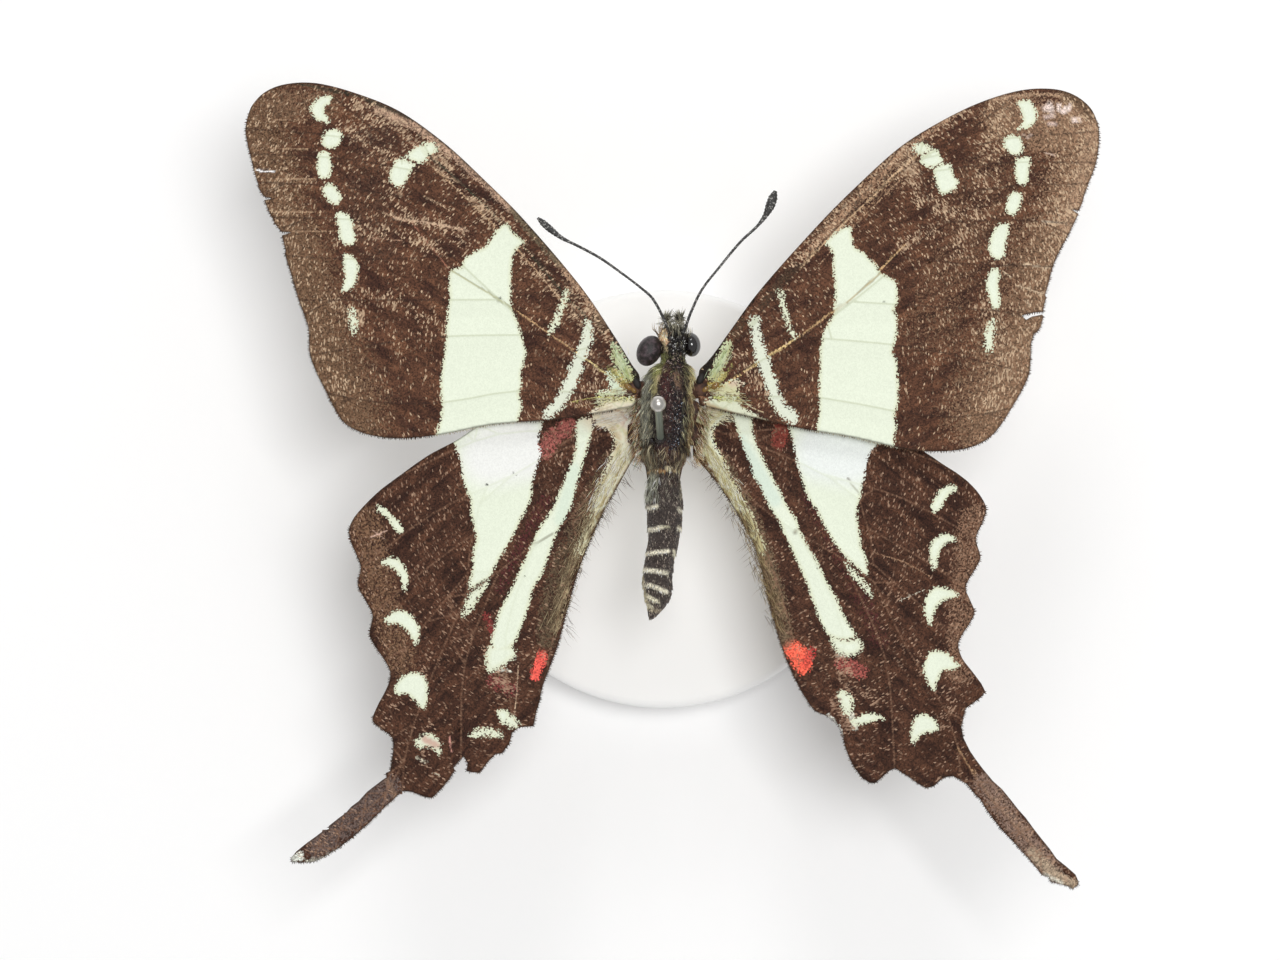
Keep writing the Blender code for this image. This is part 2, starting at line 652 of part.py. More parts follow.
def make_legs(material):
    for name, points in LEGS.items():
        for word, side in (("left", -1), ("right", 1)):
            placed = [(body_middle(y) + side * off, y, z) for off, y, z in points]
            make_tube(f"{name}_{word}", placed, LEG_RADII, LEG_STEP, material)


def make_wings(material_front, material_rear):
    make_wing("forewing_left", LEFT_FOREWING, FOREWING_BRANCHES, FOREWING_Z, material_front)
    make_wing("forewing_right", RIGHT_FOREWING, FOREWING_BRANCHES, FOREWING_Z, material_front)
    make_wing("hindwing_left", LEFT_HINDWING, HINDWING_BRANCHES, HINDWING_Z, material_rear)
    make_wing("hindwing_right", RIGHT_HINDWING, HINDWING_BRANCHES, HINDWING_Z, material_rear)


clear_scene()
specimen = new_collection("kite_swallowtail")
cutters = new_collection("cutters")
make_base(new_material("stand_white", (0.86, 0.86, 0.84), 0.45))
make_pin(new_material("pin_steel", (0.78, 0.78, 0.76), 0.2, 1.0))
body_dark = new_material("body_scales", (0.035, 0.026, 0.020), 0.6)
make_thorax(body_dark)
make_abdomen(body_dark)
make_head(body_dark, new_material("eye_black", (0.012, 0.010, 0.012), 0.12))
make_palps(body_dark)
make_proboscis(body_dark)
make_antennae(new_material("antenna_black", (0.03, 0.028, 0.026), 0.5))
make_legs(body_dark)
make_wings(
    new_material("forewing_scales", (0.10, 0.055, 0.040), 0.75),
    new_material("hindwing_scales", (0.09, 0.050, 0.037), 0.75),
)
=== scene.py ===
import math

import bmesh
import bpy
import numpy as np
from mathutils import Matrix, Vector
from mathutils.geometry import delaunay_2d_cdt


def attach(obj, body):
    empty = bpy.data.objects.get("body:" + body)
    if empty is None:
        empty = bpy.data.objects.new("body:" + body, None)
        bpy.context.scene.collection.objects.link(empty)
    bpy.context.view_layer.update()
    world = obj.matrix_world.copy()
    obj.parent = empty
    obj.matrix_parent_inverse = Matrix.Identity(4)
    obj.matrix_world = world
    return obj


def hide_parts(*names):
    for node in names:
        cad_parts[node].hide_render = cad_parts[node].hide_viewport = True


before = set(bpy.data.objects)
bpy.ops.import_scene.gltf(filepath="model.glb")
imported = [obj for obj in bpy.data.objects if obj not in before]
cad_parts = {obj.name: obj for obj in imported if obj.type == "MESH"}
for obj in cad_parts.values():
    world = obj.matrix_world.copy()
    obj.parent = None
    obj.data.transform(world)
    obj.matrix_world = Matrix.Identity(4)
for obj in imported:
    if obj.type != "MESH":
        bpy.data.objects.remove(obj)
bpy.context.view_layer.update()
print("frame loaded:", len(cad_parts), "nodes")

mm = 0.001
rng = np.random.default_rng(11)

# Places read off the photo are in its pixels, seen from straight above. All else is in millimetres.
photo = {"pixelsPerMm": 14.75, "zeroX": 664, "zeroY": 500, "width": 1280, "height": 960}


def fromPhoto(points):
    # a run of x, y, x, y in pixels becomes places at the level of the wings
    spots = np.array(points, float).reshape(-1, 2)
    across = spots[:, 0] - photo["zeroX"]
    upwards = photo["zeroY"] - spots[:, 1]
    return np.stack([across, upwards], axis=1) / photo["pixelsPerMm"]


# Lines and distances.


def smoothLine(points, step, closed=False):
    # points about step apart on a smooth curve through the given ones
    knots = np.array(points, float)
    if closed:
        knots = closeLine(knots)
    gaps = np.linalg.norm(np.diff(knots, axis=0), axis=1)
    slopes = np.empty_like(knots)
    slopes[1:-1] = (knots[2:] - knots[:-2]) / (gaps[1:] + gaps[:-1])[:, None]
    slopes[0] = (knots[1] - knots[0]) / gaps[0]
    slopes[-1] = (knots[-1] - knots[-2]) / gaps[-1]
    if closed:
        slopes[0] = slopes[-1] = (knots[1] - knots[-2]) / (gaps[0] + gaps[-1])
    line = []
    for i, gap in enumerate(gaps):
        count = max(1, round(gap / step))
        t = (np.arange(count) / count)[:, None]
        line.append(
            knots[i] * (1 + 2 * t) * (1 - t) ** 2
            + slopes[i] * gap * t * (1 - t) ** 2
            + knots[i + 1] * (3 - 2 * t) * t**2
            - slopes[i + 1] * gap * (1 - t) * t**2
        )
    if not closed:
        line.append(knots[-1:])
    return np.vstack(line)


def closeLine(line):
    return np.vstack([line, line[:1]])


def reachAlong(line):
    # how far along the line each of its points lies
    gaps = np.linalg.norm(np.diff(line, axis=0), axis=1)
    return np.concatenate([[0.0], np.cumsum(gaps)])


def distanceToSegments(points, starts, ends):
    # each point's distance from the nearest segment, which one that is, and how far along it
    spans = ends - starts
    lengths = np.maximum((spans**2).sum(axis=1), 1e-12)
    found = []
    batch = 2000
    for first in range(0, len(points), batch):
        offsets = points[first : first + batch, None, :] - starts[None, :, :]
        along = np.clip((offsets * spans).sum(axis=2) / lengths, 0, 1)
        gaps = np.linalg.norm(offsets - along[:, :, None] * spans, axis=2)
        nearest = gaps.argmin(axis=1)
        rows = np.arange(len(gaps))
        found.append((gaps[rows, nearest], nearest, along[rows, nearest]))
    if not found:
        return np.zeros(0), np.zeros(0, int), np.zeros(0)
    return tuple(np.concatenate(column) for column in zip(*found))


def distanceToLine(points, line):
    return distanceToSegments(points, line[:-1], line[1:])[0]


def isInside(points, outline):
    # a point is inside where the outline crosses the level line on its right an odd number of times
    found = np.zeros(len(points), bool)
    for (x0, y0), (x1, y1) in zip(outline, np.roll(outline, -1, axis=0)):
        if y0 == y1:
            continue
        spans = (y0 > points[:, 1]) != (y1 > points[:, 1])
        found ^= spans & (points[:, 0] < x0 + (points[:, 1] - y0) * (x1 - x0) / (y1 - y0))
    return found


def isNear(points, line, margin):
    low, high = line.min(axis=0) - margin, line.max(axis=0) + margin
    return ((points > low) & (points < high)).all(axis=1)


def depthInside(points, shapes, step):
    # signed distance: positive inside any of the smooth closed shapes, negative outside
    farOff = 2.0
    depth = np.full(len(points), -farOff)
    for shape in shapes:
        outline = smoothLine(fromPhoto(shape), step, closed=True)
        near = isNear(points, outline, farOff)
        reach = distanceToLine(points[near], closeLine(outline))
        reach[~isInside(points[near], outline)] *= -1
        depth[near] = np.maximum(depth[near], reach)
    return depth


def ramp(values, start, end):
    share = np.clip((values - start) / (end - start), 0, 1)
    return share * share * (3 - 2 * share)


def unit(vectors):
    return vectors / np.maximum(np.linalg.norm(vectors, axis=1), 1e-9)[:, None]


# Chance, always drawn in the same order.


def spread(low, high, count):
    return rng.uniform(low, high, count)


def pick(hexValues, count):
    shades = np.array([srgb(value)[:3] for value in hexValues])
    return shades[rng.integers(0, len(shades), count)]


# Colours and materials.


def srgb(hexValue):
    # an sRGB hex value as a linear colour
    channels = [int(hexValue[i : i + 2], 16) / 255 for i in (0, 2, 4)]
    linear = [c / 12.92 if c <= 0.04045 else ((c + 0.055) / 1.055) ** 2.4 for c in channels]
    return (*linear, 1.0)


def strokePath(line):
    # a short last step makes a dot of a stroke with only one point
    path = fromPhoto(line)
    return np.vstack([path, path[-1:] + 1e-4])


def paint(points, strokes):
    # soft strokes laid over one another, each (line in pixels, half width in mm, colour, strength)
    ink = np.zeros((len(points), 3))
    cover = np.zeros(len(points))
    for line, width, hexValue, strength in strokes:
        path = strokePath(line)
        near = isNear(points, path, width)
        share = strength * ramp(distanceToLine(points[near], path), width, width * 0.35)
        ink[near] = np.array(srgb(hexValue)[:3]) * share[:, None] + ink[near] * (1 - share)[:, None]
        cover[near] = share + cover[near] * (1 - share)
    ink /= np.maximum(cover, 1e-6)[:, None]
    return np.column_stack([ink, cover])


def setAttribute(mesh, name, values, kind="FLOAT"):
    # a number, vector or colour for each point
    field = {"FLOAT": "value", "FLOAT_VECTOR": "vector", "FLOAT_COLOR": "color"}[kind]
    layer = mesh.attributes.new(name, kind, "POINT")
    layer.data.foreach_set(field, np.asarray(values, np.float32).ravel())


def fillSockets(tree, node, inputs):
    # a socket is linked, and any other value is set on the node's own socket
    for key, value in inputs.items():
        if isinstance(value, bpy.types.NodeSocket):
            tree.links.new(value, node.inputs[key])
        else:
            node.inputs[key].default_value = value


def addNode(tree, kind, inputs=None, **settings):
    # Gives back the node's outputs. Sockets that share a name go by number. Map Range has 0 for
    # the value, 1 and 2 for where it comes from, 3 and 4 for where it goes to. Mix has 0 for the
    # share, 6 and 7 for the colours, and its own colour is output 2.
    node = tree.nodes.new("ShaderNode" + kind)
    for name, value in settings.items():
        setattr(node, name, value)
    fillSockets(tree, node, inputs or {})
    return node.outputs


def newMaterial(name, values):
    material = bpy.data.materials.new(name)
    material.use_nodes = True
    tree = material.node_tree
    shader = tree.nodes["Principled BSDF"]
    fillSockets(tree, shader, values)
    return material, tree, shader


def tintScales(tree, ground, chance):
    # the strokes painted on a piece tint whole scales, each by its own chance
    turn = addNode(tree, "MapRange", {0: chance, 3: 0.12, 4: 0.88})[0]
    tint = addNode(tree, "Attribute", attribute_name="tint")
    ahead = addNode(tree, "Math", {0: tint["Alpha"], 1: turn}, operation="SUBTRACT")[0]
    isTinted = addNode(tree, "MapRange", {0: ahead, 1: -0.12, 2: 0.12})[0]
    return addNode(tree, "Mix", {0: isTinted, 6: ground, 7: tint["Color"]}, data_type="RGBA")[2]


def shadeScales(tree, colour, chance, shades):
    # each scale is darker or lighter than its colour, by its own chance
    shade = addNode(tree, "MapRange", {0: chance, 3: shades[0], 4: shades[1]})[0]
    return addNode(tree, "VectorMath", {0: colour, "Scale": shade}, operation="SCALE")[0]


def blendTones(tree, share, start, end, dark, light):
    # from the dark tone to the light one, as the share goes from start to end
    blend = addNode(tree, "MapRange", {0: share, 1: start, 2: end})[0]
    return addNode(tree, "Mix", {0: blend, 6: srgb(dark), 7: srgb(light)}, data_type="RGBA")[2]


# Pieces.

sides = {"Left": -1, "Right": 1}


def nodeOf(name):
    # a piece that stands in for one solid is named after its node: eyeLeft for eye_left
    return "".join("_" + letter.lower() if letter.isupper() else letter for letter in name)


def linkObject(name, data):
    made = bpy.data.objects.new(name, data)
    bpy.context.scene.collection.objects.link(made)
    return made


def placePiece(name, mesh, replaced=()):
    piece = linkObject(name, mesh)
    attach(piece, "root")
    if replaced:
        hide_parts(*replaced)
    return piece


def finishPiece(name, bm, materials, replaced=()):
    # millimetres to metres, then a smooth mesh object that rides on the frame
    bmesh.ops.scale(bm, vec=(mm, mm, mm), verts=bm.verts)
    mesh = bpy.data.meshes.new(name)
    bm.to_mesh(mesh)
    bm.free()
    mesh.shade_smooth()
    for material in materials:
        mesh.materials.append(material)
    return placePiece(name, mesh, replaced)


def turnProfile(profile, steps):
    # a closed turned shape from (radius, height) pairs that run from axis to axis
    bm = bmesh.new()
    spots = [bm.verts.new((x, 0.0, z)) for x, z in profile]
    edges = [bm.edges.new(pair) for pair in zip(spots, spots[1:])]
    bmesh.ops.spin(
        bm, geom=spots + edges, cent=(0, 0, 0), axis=(0, 0, 1), angle=2 * math.pi, steps=steps,
        use_merge=True,
    )
    bmesh.ops.remove_doubles(bm, verts=bm.verts, dist=1e-4)
    bmesh.ops.recalc_face_normals(bm, faces=bm.faces)
    return bm


def loft(bm, centres, across, upward, sides, downward=None):
    # A closed skin over rings, each with its centre and half axes across and upward. A ball's
    # own rings are moved onto the ones given.
    downward = -upward if downward is None else downward
    count = len(centres)
    made = bmesh.ops.create_uvsphere(bm, u_segments=sides, v_segments=count + 1, radius=1)
    for vert in made["verts"]:
        place = vert.co.normalized()
        polar = math.acos(max(-1.0, min(1.0, place.z))) / math.pi
        ring = round(polar * (count + 1)) - 1
        reach = place.xy.normalized() if 0 <= ring < count else Vector((0.0, 0.0))
        ring = min(max(ring, 0), count - 1)
        rise = upward[ring] * reach.y if reach.y > 0 else downward[ring] * -reach.y
        vert.co = centres[ring] + across[ring] * reach.x + rise
    faces = list({face for vert in made["verts"] for face in vert.link_faces})
    bmesh.ops.recalc_face_normals(bm, faces=faces)
    bm.normal_update()
    middle = sum((vert.co for vert in made["verts"]), Vector()) / len(made["verts"])
    outward = sum(f.normal.dot(f.calc_center_median() - middle) * f.calc_area() for f in faces)
    if outward < 0:  # a long thin skin can come out inside out
        bmesh.ops.reverse_faces(bm, faces=faces)


def loftAlong(bm, points, radii, sides, step, flat=1.0, up=(0, 0, 1)):
    # a round or flattened rod through points; radii are (share of the length, radius)
    line = smoothLine(points, step)
    reached = reachAlong(line)
    stations, sizes = zip(*radii)
    sizes = np.interp(reached / reached[-1], stations, sizes)[:, None]
    along = unit(np.gradient(line, axis=0))
    across = unit(np.cross(along, np.array(up, float)))
    upward = np.cross(across, along)
    loft(bm, line, across * sizes, upward * sizes * flat, sides)


def addBall(bm, centre, radii, segments, rings, turn=0, axis="Z"):
    # turn is in degrees
    rotation = Matrix.Rotation(math.radians(turn), 4, axis)
    shape = Matrix.Translation(centre) @ rotation @ Matrix.Diagonal((*radii, 1.0))
    bmesh.ops.create_uvsphere(bm, u_segments=segments, v_segments=rings, radius=1, matrix=shape)


# Wing scales: overlapping plates of chitin, grown in rows across the veins, at their real size of
# about 0.1 mm. They are dull as felt and their colours meet scale by scale. Where they are rubbed
# off, the wing looks dusted with tan; this dust is drawn a little coarser than it is, to show.
scaled = {
    "plate": 0.085,
    "dust": (0.08, 0.17),
    "streaks": (0.2, 1.6),
    "clouds": 0.6,
    "relief": 0.02,
    "roughness": 0.7,
    "gloss": 0.15,
    "plateShades": (0.46, 1.54),
    "paleShades": (0.94, 1.03),
    "paleEdge": "D2D3A6",
    "paleEdgeDepth": 2.2,
    "veinWidth": 0.1,
    "paleVein": 0.42,
    "hem": "3E332B",
    "hemWidth": 0.13,
}
scaleTones = {
    "forewing scales": {
        "dark": "3C241B", "light": "6A4733", "pale": "E9F0DC", "dust": "D8BB9B",
        "vein": "33221B", "paleVein": "B4BA96",
    },
    "hindwing scales": {
        "dark": "321D15", "light": "593A2A", "pale": "E9F0DC", "dust": "B8977E",
        "vein": "866550", "paleVein": "DDE4CC",
    },
    "wing scales, underside": {
        "dark": "6B4E3D", "light": "8F705A", "pale": "E0E6D2", "dust": "D0BEA0",
        "vein": "B59A7C", "paleVein": "C6CBB0",
    },
}


def makeWingScales(name):
    tone = scaleTones[name]
    material, tree, shader = newMaterial(
        name, {"Roughness": scaled["roughness"], "Specular IOR Level": scaled["gloss"]}
    )
    place = addNode(tree, "TexCoord")["Object"]
    plates = addNode(
        tree, "TexVoronoi", {"Vector": place, "Scale": 1 / (scaled["plate"] * mm)}, voronoi_dimensions="2D"
    )
    chance = addNode(tree, "SeparateColor", {0: plates["Color"]})
    grain = addNode(tree, "Attribute", attribute_name="grain")["Vector"]
    perMm = (1 / scaled["dust"][0], 1 / scaled["dust"][1], 1.0)
    cells = addNode(tree, "Mapping", {"Vector": grain, "Scale": perMm})[0]
    specks = addNode(tree, "TexVoronoi", {"Vector": cells, "Scale": 1.0}, voronoi_dimensions="2D")
    luck = addNode(tree, "SeparateColor", {0: specks["Color"]})
    along = addNode(tree, "Mapping", {"Vector": grain, "Scale": (*scaled["streaks"], 1.0)})[0]
    streak = addNode(
        tree, "TexNoise", {"Vector": along, "Scale": 1.0, "Detail": 4.0, "Roughness": 0.6},
        noise_dimensions="2D",
    )["Fac"]
    cloud = addNode(
        tree, "TexNoise",
        {"Vector": grain, "Scale": scaled["clouds"], "Detail": 5.0, "Roughness": 0.65},
        noise_dimensions="2D",
    )["Fac"]
    mixed = addNode(tree, "Math", {0: streak, 1: cloud})[0]

    # brown ground, softly streaked along the veins
    ground = blendTones(tree, mixed, 0.75, 1.3, tone["dark"], tone["light"])
    ground = tintScales(tree, ground, chance[1])
    ground = shadeScales(tree, ground, chance[2], scaled["plateShades"])

    # tan dust where the scales are worn
    worn = addNode(tree, "Attribute", attribute_name="worn")["Fac"]
    clump = addNode(tree, "MapRange", {0: mixed, 1: 0.75, 2: 1.25, 3: 0.3, 4: 1.7})[0]
    patchy = addNode(tree, "Math", {0: worn, 1: clump}, operation="MULTIPLY")[0]
    limit = addNode(tree, "Math", {0: 1.0, 1: patchy}, operation="SUBTRACT")[0]
    past = addNode(tree, "Math", {0: luck[1], 1: limit}, operation="SUBTRACT")[0]
    isDust = addNode(tree, "MapRange", {0: past, 1: 0.0, 2: 0.05, 3: 0.0, 4: 0.9})[0]
    dust = addNode(tree, "Math", {0: isDust, 1: luck[0]}, operation="MULTIPLY")[0]
    tan = srgb(tone["dust"])
    ground = addNode(tree, "Mix", {0: dust, 6: ground, 7: tan}, data_type="RGBA")[2]

    # pale bands and spots, yellower at their ragged edges
    depth = addNode(tree, "Attribute", attribute_name="pale")["Fac"]
    push = addNode(tree, "MapRange", {0: chance[0], 3: -1.0, 4: 1.0})[0]
    pushed = addNode(tree, "Math", {0: depth, 1: push})[0]
    isPale = addNode(tree, "MapRange", {0: pushed, 1: -0.15, 2: 0.25})[0]
    edgeDepth = scaled["paleEdgeDepth"]
    atEdge = addNode(tree, "MapRange", {0: depth, 1: edgeDepth, 2: 0.0, 3: 0.0, 4: 0.45})[0]
    clean, edged = srgb(tone["pale"]), srgb(scaled["paleEdge"])
    pale = addNode(tree, "Mix", {0: atEdge, 6: clean, 7: edged}, data_type="RGBA")[2]
    wash = addNode(tree, "Attribute", attribute_name="paleTint")
    pale = addNode(tree, "Mix", {0: wash["Alpha"], 6: pale, 7: wash["Color"]}, data_type="RGBA")[2]
    pale = shadeScales(tree, pale, chance[1], scaled["paleShades"])
    colour = addNode(tree, "Mix", {0: isPale, 6: ground, 7: pale}, data_type="RGBA")[2]

    # veins: a hairline, broken on brown and grey-green on the bands
    veinGap = addNode(tree, "Attribute", attribute_name="vein")["Fac"]
    onVein = addNode(tree, "MapRange", {0: veinGap, 1: scaled["veinWidth"], 2: 0.02})[0]
    broken = addNode(tree, "MapRange", {0: luck[1], 1: 0.2, 2: 0.8, 3: 0.1, 4: 0.75})[0]
    whole = addNode(tree, "Mix", {0: isPale, 2: broken, 3: scaled["paleVein"]})[0]
    onVein = addNode(tree, "Math", {0: onVein, 1: whole}, operation="MULTIPLY")[0]
    veinColour = blendTones(tree, isPale, 0.0, 1.0, tone["vein"], tone["paleVein"])
    colour = addNode(tree, "Mix", {0: onVein, 6: colour, 7: veinColour}, data_type="RGBA")[2]

    # a dark bare hem at the rim
    rimGap = addNode(tree, "Attribute", attribute_name="rim")["Fac"]
    hemWidth = scaled["hemWidth"]
    onHem = addNode(tree, "MapRange", {0: rimGap, 1: hemWidth, 2: 0.02, 3: 0.0, 4: 0.55})[0]
    hem = srgb(scaled["hem"])
    colour = addNode(tree, "Mix", {0: onHem, 6: colour, 7: hem}, data_type="RGBA")[2]
    depth = scaled["relief"] * mm
    relief = addNode(tree, "Bump", {"Height": specks["Distance"], "Strength": 0.5, "Distance": depth})[0]
    fillSockets(tree, shader, {"Base Color": colour, "Normal": relief})
    return material


foreScales = makeWingScales("forewing scales")
hindScales = makeWingScales("hindwing scales")
underScales = makeWingScales("wing scales, underside")

# Wings. The rim and the veins come from the solid wings, and the markings from the photo.
wing = {
    "membrane": 0.13,
    "ridge": 0.06,
    "ridgeHalfWidth": 0.12,
    "pleat": 0.09,
    "pleatFromVein": (0.1, 1.4),
    "pleatFromRim": 1.5,
    "rimStep": 0.2,
    "gridStep": 0.22,
    "guideStep": 0.13,
    "guideApart": 0.12,
    "crowded": 0.1,
    "footClear": 0.93,  # share of the half width of a ridge
    "rimClear": 0.4,  # share of the step along the rim
    "veinClear": 0.06,
    "thinStroke": 0.3,
    "crisp": 0.13,
    "soft": 0.2,
    "shapeStep": 0.13,
    "rise": 0.03,
    "droop": 0.05,
    "droopFrom": -14.0,
    "solidHalf": 0.25,
    "solidRidge": 0.12,
    "creaseAngle": math.radians(7),
    "leastWorn": 0.1,
}

# One dictionary for each wing, with every line and outline as x, y, x, y in photo pixels.
# pale: crisp pale marks; faint: marks only dusted with pale scales; tints: soft strokes over
# the brown and paleTints: over the pale marks (line, half width in mm, colour, strength);
# worn: where scales are lost (line, half width, share); patches: torn or notched rims.
forewingLeft = {
    "level": 20.75,
    "root": (-1.9, 7.4),
    "pale": (
        (323, 97, 333, 98, 331, 104, 326, 107, 325, 113, 329, 119, 330, 124, 325, 123, 317, 120, 311, 111,
         314, 104, 319, 99),
        (326, 133, 334, 130, 342, 133, 343, 138, 340, 145, 334, 149, 326, 148, 323, 142),
        (320, 154, 329, 153, 332, 162, 332, 171, 328, 179, 322, 179, 318, 172, 318, 163),
        (329, 184, 335, 187, 342, 197, 340, 203, 334, 205, 328, 200, 324, 194, 324, 188),
        (337, 214, 346, 214, 352, 220, 355, 232, 356, 241, 354, 245, 345, 245, 341, 240, 339, 228),
        (345, 255, 354, 257, 359, 266, 357, 278, 354, 287, 348, 292, 342, 291, 345, 281, 344, 266),
        (400, 159, 410, 162, 415, 165, 412, 171, 407, 180, 403, 187, 396, 187, 391, 182, 390, 174,
         394, 165),
        (405, 158, 412, 151, 420, 146, 424, 150, 428, 157, 424, 163, 418, 163, 412, 161),
        (508, 224, 500, 228, 492, 237, 485, 247, 475, 252, 464, 260, 462, 267, 452, 270, 449, 280, 450, 297,
         448, 310, 446, 340, 443, 365, 441, 380, 442, 410, 440, 446, 519, 440, 518, 421, 522, 405, 519, 395,
         522, 385, 521, 375, 524, 362, 526, 352, 523, 340, 520, 330, 517, 320, 513, 310, 511, 300, 512, 262,
         516, 250, 524, 242, 514, 234, 510, 228),
    ),
    "faint": (
        (350, 310, 355, 309, 357, 319, 357, 330, 354, 336, 351, 325),
        (420, 148, 430, 143, 438, 147, 434, 154, 426, 156),
        (566, 290, 569, 294, 566, 303, 561, 316, 556, 328, 549, 334, 549, 330, 554, 320, 560, 304),
        (585, 321, 592, 324, 592, 338, 589, 350, 584, 362, 581, 374, 576, 386, 570, 396, 564, 406, 555, 414,
         547, 420, 543, 415, 551, 405, 558, 396, 563, 384, 568, 372, 573, 360, 579, 346, 583, 334),
        (613, 344, 618, 347, 624, 357, 630, 368, 634, 380, 626, 380, 618, 370, 612, 356),
        (607, 370, 611, 374, 616, 380, 622, 389, 624, 393, 618, 396, 608, 397, 600, 396, 597, 393, 603, 391,
         609, 390, 611, 387, 609, 381, 606, 375),
        (598, 400, 612, 399, 634, 399, 640, 404, 632, 411, 617, 414, 603, 417, 587, 420, 585, 418, 590, 413,
         597, 408, 602, 404),
    ),
    "tints": (
        ((235, 130, 260, 230, 300, 350, 330, 430), 5.5, "6E543F", 0.75),
        ((300, 250, 330, 340, 365, 400), 3.0, "6A503C", 0.3), ((285, 104, 325, 106), 1.6, "755A45", 0.6),
        ((385, 112, 364, 190, 378, 245), 2.2, "523A2D", 0.4), ((277, 121, 308, 121), 0.07, "A88A6E", 0.7),
        ((284, 149.7, 308, 149.7), 0.07, "A88A6E", 0.7), ((277, 179.5, 316, 179.5), 0.07, "A88A6E", 0.7),
        ((274, 213, 314, 213), 0.07, "A88A6E", 0.7), ((283, 232, 340, 232), 0.07, "A88A6E", 0.65),
        ((512, 210, 486, 184, 456, 158, 420, 130, 378, 110), 0.42, "B0917A", 0.82),
        ((604, 322, 582, 292, 560, 264), 0.42, "A98A70", 0.75),
        ((560, 264, 536, 239, 512, 210), 0.36, "6A5C48", 0.8),
        ((590, 322, 562, 292, 530, 254, 500, 222, 462, 184, 420, 148), 0.13, "3C3A2C", 0.8),
        ((566, 306, 536, 270, 505, 236, 462, 194, 425, 160), 0.14, "A98A6C", 0.75),
        ((412, 223, 430, 245, 449, 269), 0.1, "8E5F4C", 0.8),
        ((395, 219, 420, 222, 445, 226, 468, 231), 0.18, "B0927A", 0.85),
        ((424, 197, 437, 203, 451, 212), 0.13, "A98C72", 0.8),
        ((437, 171, 448, 177, 461, 184), 0.11, "A98C72", 0.75),
        ((384, 214, 398, 218, 414, 223), 0.1, "A98C72", 0.75),
        ((372, 238, 388, 240, 402, 241), 0.08, "A8846C", 0.7),
        ((641, 378, 627, 352, 612, 322), 0.62, "1F1712", 1.0),
        ((612, 322, 586, 290, 562, 259, 534, 232, 514, 206, 479, 173, 458, 154, 420, 123, 360, 97, 300, 85),
         0.14, "3A3428", 0.85),
        ((604, 330, 596, 318), 0.5, "4E3C2C", 0.7), ((614, 370, 624, 381, 631, 388), 0.3, "AFA768", 0.95),
        ((608, 368, 616, 377, 626, 388), 0.22, "8E8A5A", 0.8),
        ((575, 351, 600, 369, 628, 390), 0.12, "D6C08A", 1.0),
        ((514, 309, 545, 331, 575, 351), 0.1, "B08E68", 0.95),
        ((596, 397.5, 612, 398, 634, 398.5), 0.14, "C4C47C", 1.0),
        ((572, 420, 587, 417), 0.2, "CDC2A4", 0.7), ((570, 402, 585, 399, 598, 397), 0.07, "A59A5E", 0.8),
        ((575, 408, 590, 404, 602, 402), 0.07, "9A7E5C", 0.7), ((624, 384, 634, 390), 0.34, "8E7C46", 0.95),
        ((634, 392, 640, 408), 0.32, "6A4434", 0.8), ((258, 171, 266, 172.5, 275, 172), 0.07, "F2F2F2", 1.0),
    ),
    "paleTints": (
        ((614, 347, 632, 382), 1.3, "C6D2AC", 0.9), ((611, 350, 618, 368, 628, 382), 0.22, "AEB27C", 0.8),
        ((628, 372, 636, 384), 0.5, "B4B67A", 0.85), ((606, 372, 612, 386, 622, 394), 0.5, "D6E2CA", 0.95),
        ((597, 394, 618, 395), 0.16, "C9D0A0", 0.9), ((588, 417, 610, 408, 636, 404), 0.75, "E6DDC4", 1.0),
        ((600, 400, 634, 401), 0.2, "D4D0A0", 0.9), ((604, 413, 622, 410, 632, 408), 0.09, "C49C84", 0.7),
        ((586, 420, 603, 416, 618, 414, 632, 411), 0.1, "8A6850", 0.9),
        ((598, 411, 612, 406), 0.07, "B9A888", 0.7),
        ((596, 315, 583, 350, 568, 385, 545, 418), 0.9, "DFE4D2", 0.8),
        ((449, 269, 480, 288, 514, 309), 0.1, "B3B288", 0.9), ((618, 350, 628, 376), 0.1, "9AA86A", 0.7),
    ),
    "worn": (
        ((258, 110, 290, 240, 335, 390), 3.2, 0.24), ((350, 300, 400, 300, 440, 330), 1.4, 0.3),
        ((360, 105, 430, 150, 480, 205, 540, 270, 590, 330), 1.2, 0.55),
        ((395, 215, 440, 225, 470, 245), 0.9, 0.5), ((345, 130, 390, 150, 395, 200), 1.4, 0.45),
        ((350, 225, 400, 235, 450, 250), 1.0, 0.5), ((560, 280, 600, 330, 620, 360), 0.9, 0.5),
        ((590, 350, 600, 378, 580, 400), 1.0, 0.45), ((330, 300, 360, 320), 0.9, 0.55),
    ),
    "patches": (
        (259.2, 187.9, 264.5, 197.1, 273, 199.4, 265.3, 200.9, 271.4, 215.5),
        (277.5, 226.2, 282.1, 232.3, 292.1, 233.1, 282.9, 236.1, 286.7, 252.2),
    ),
}
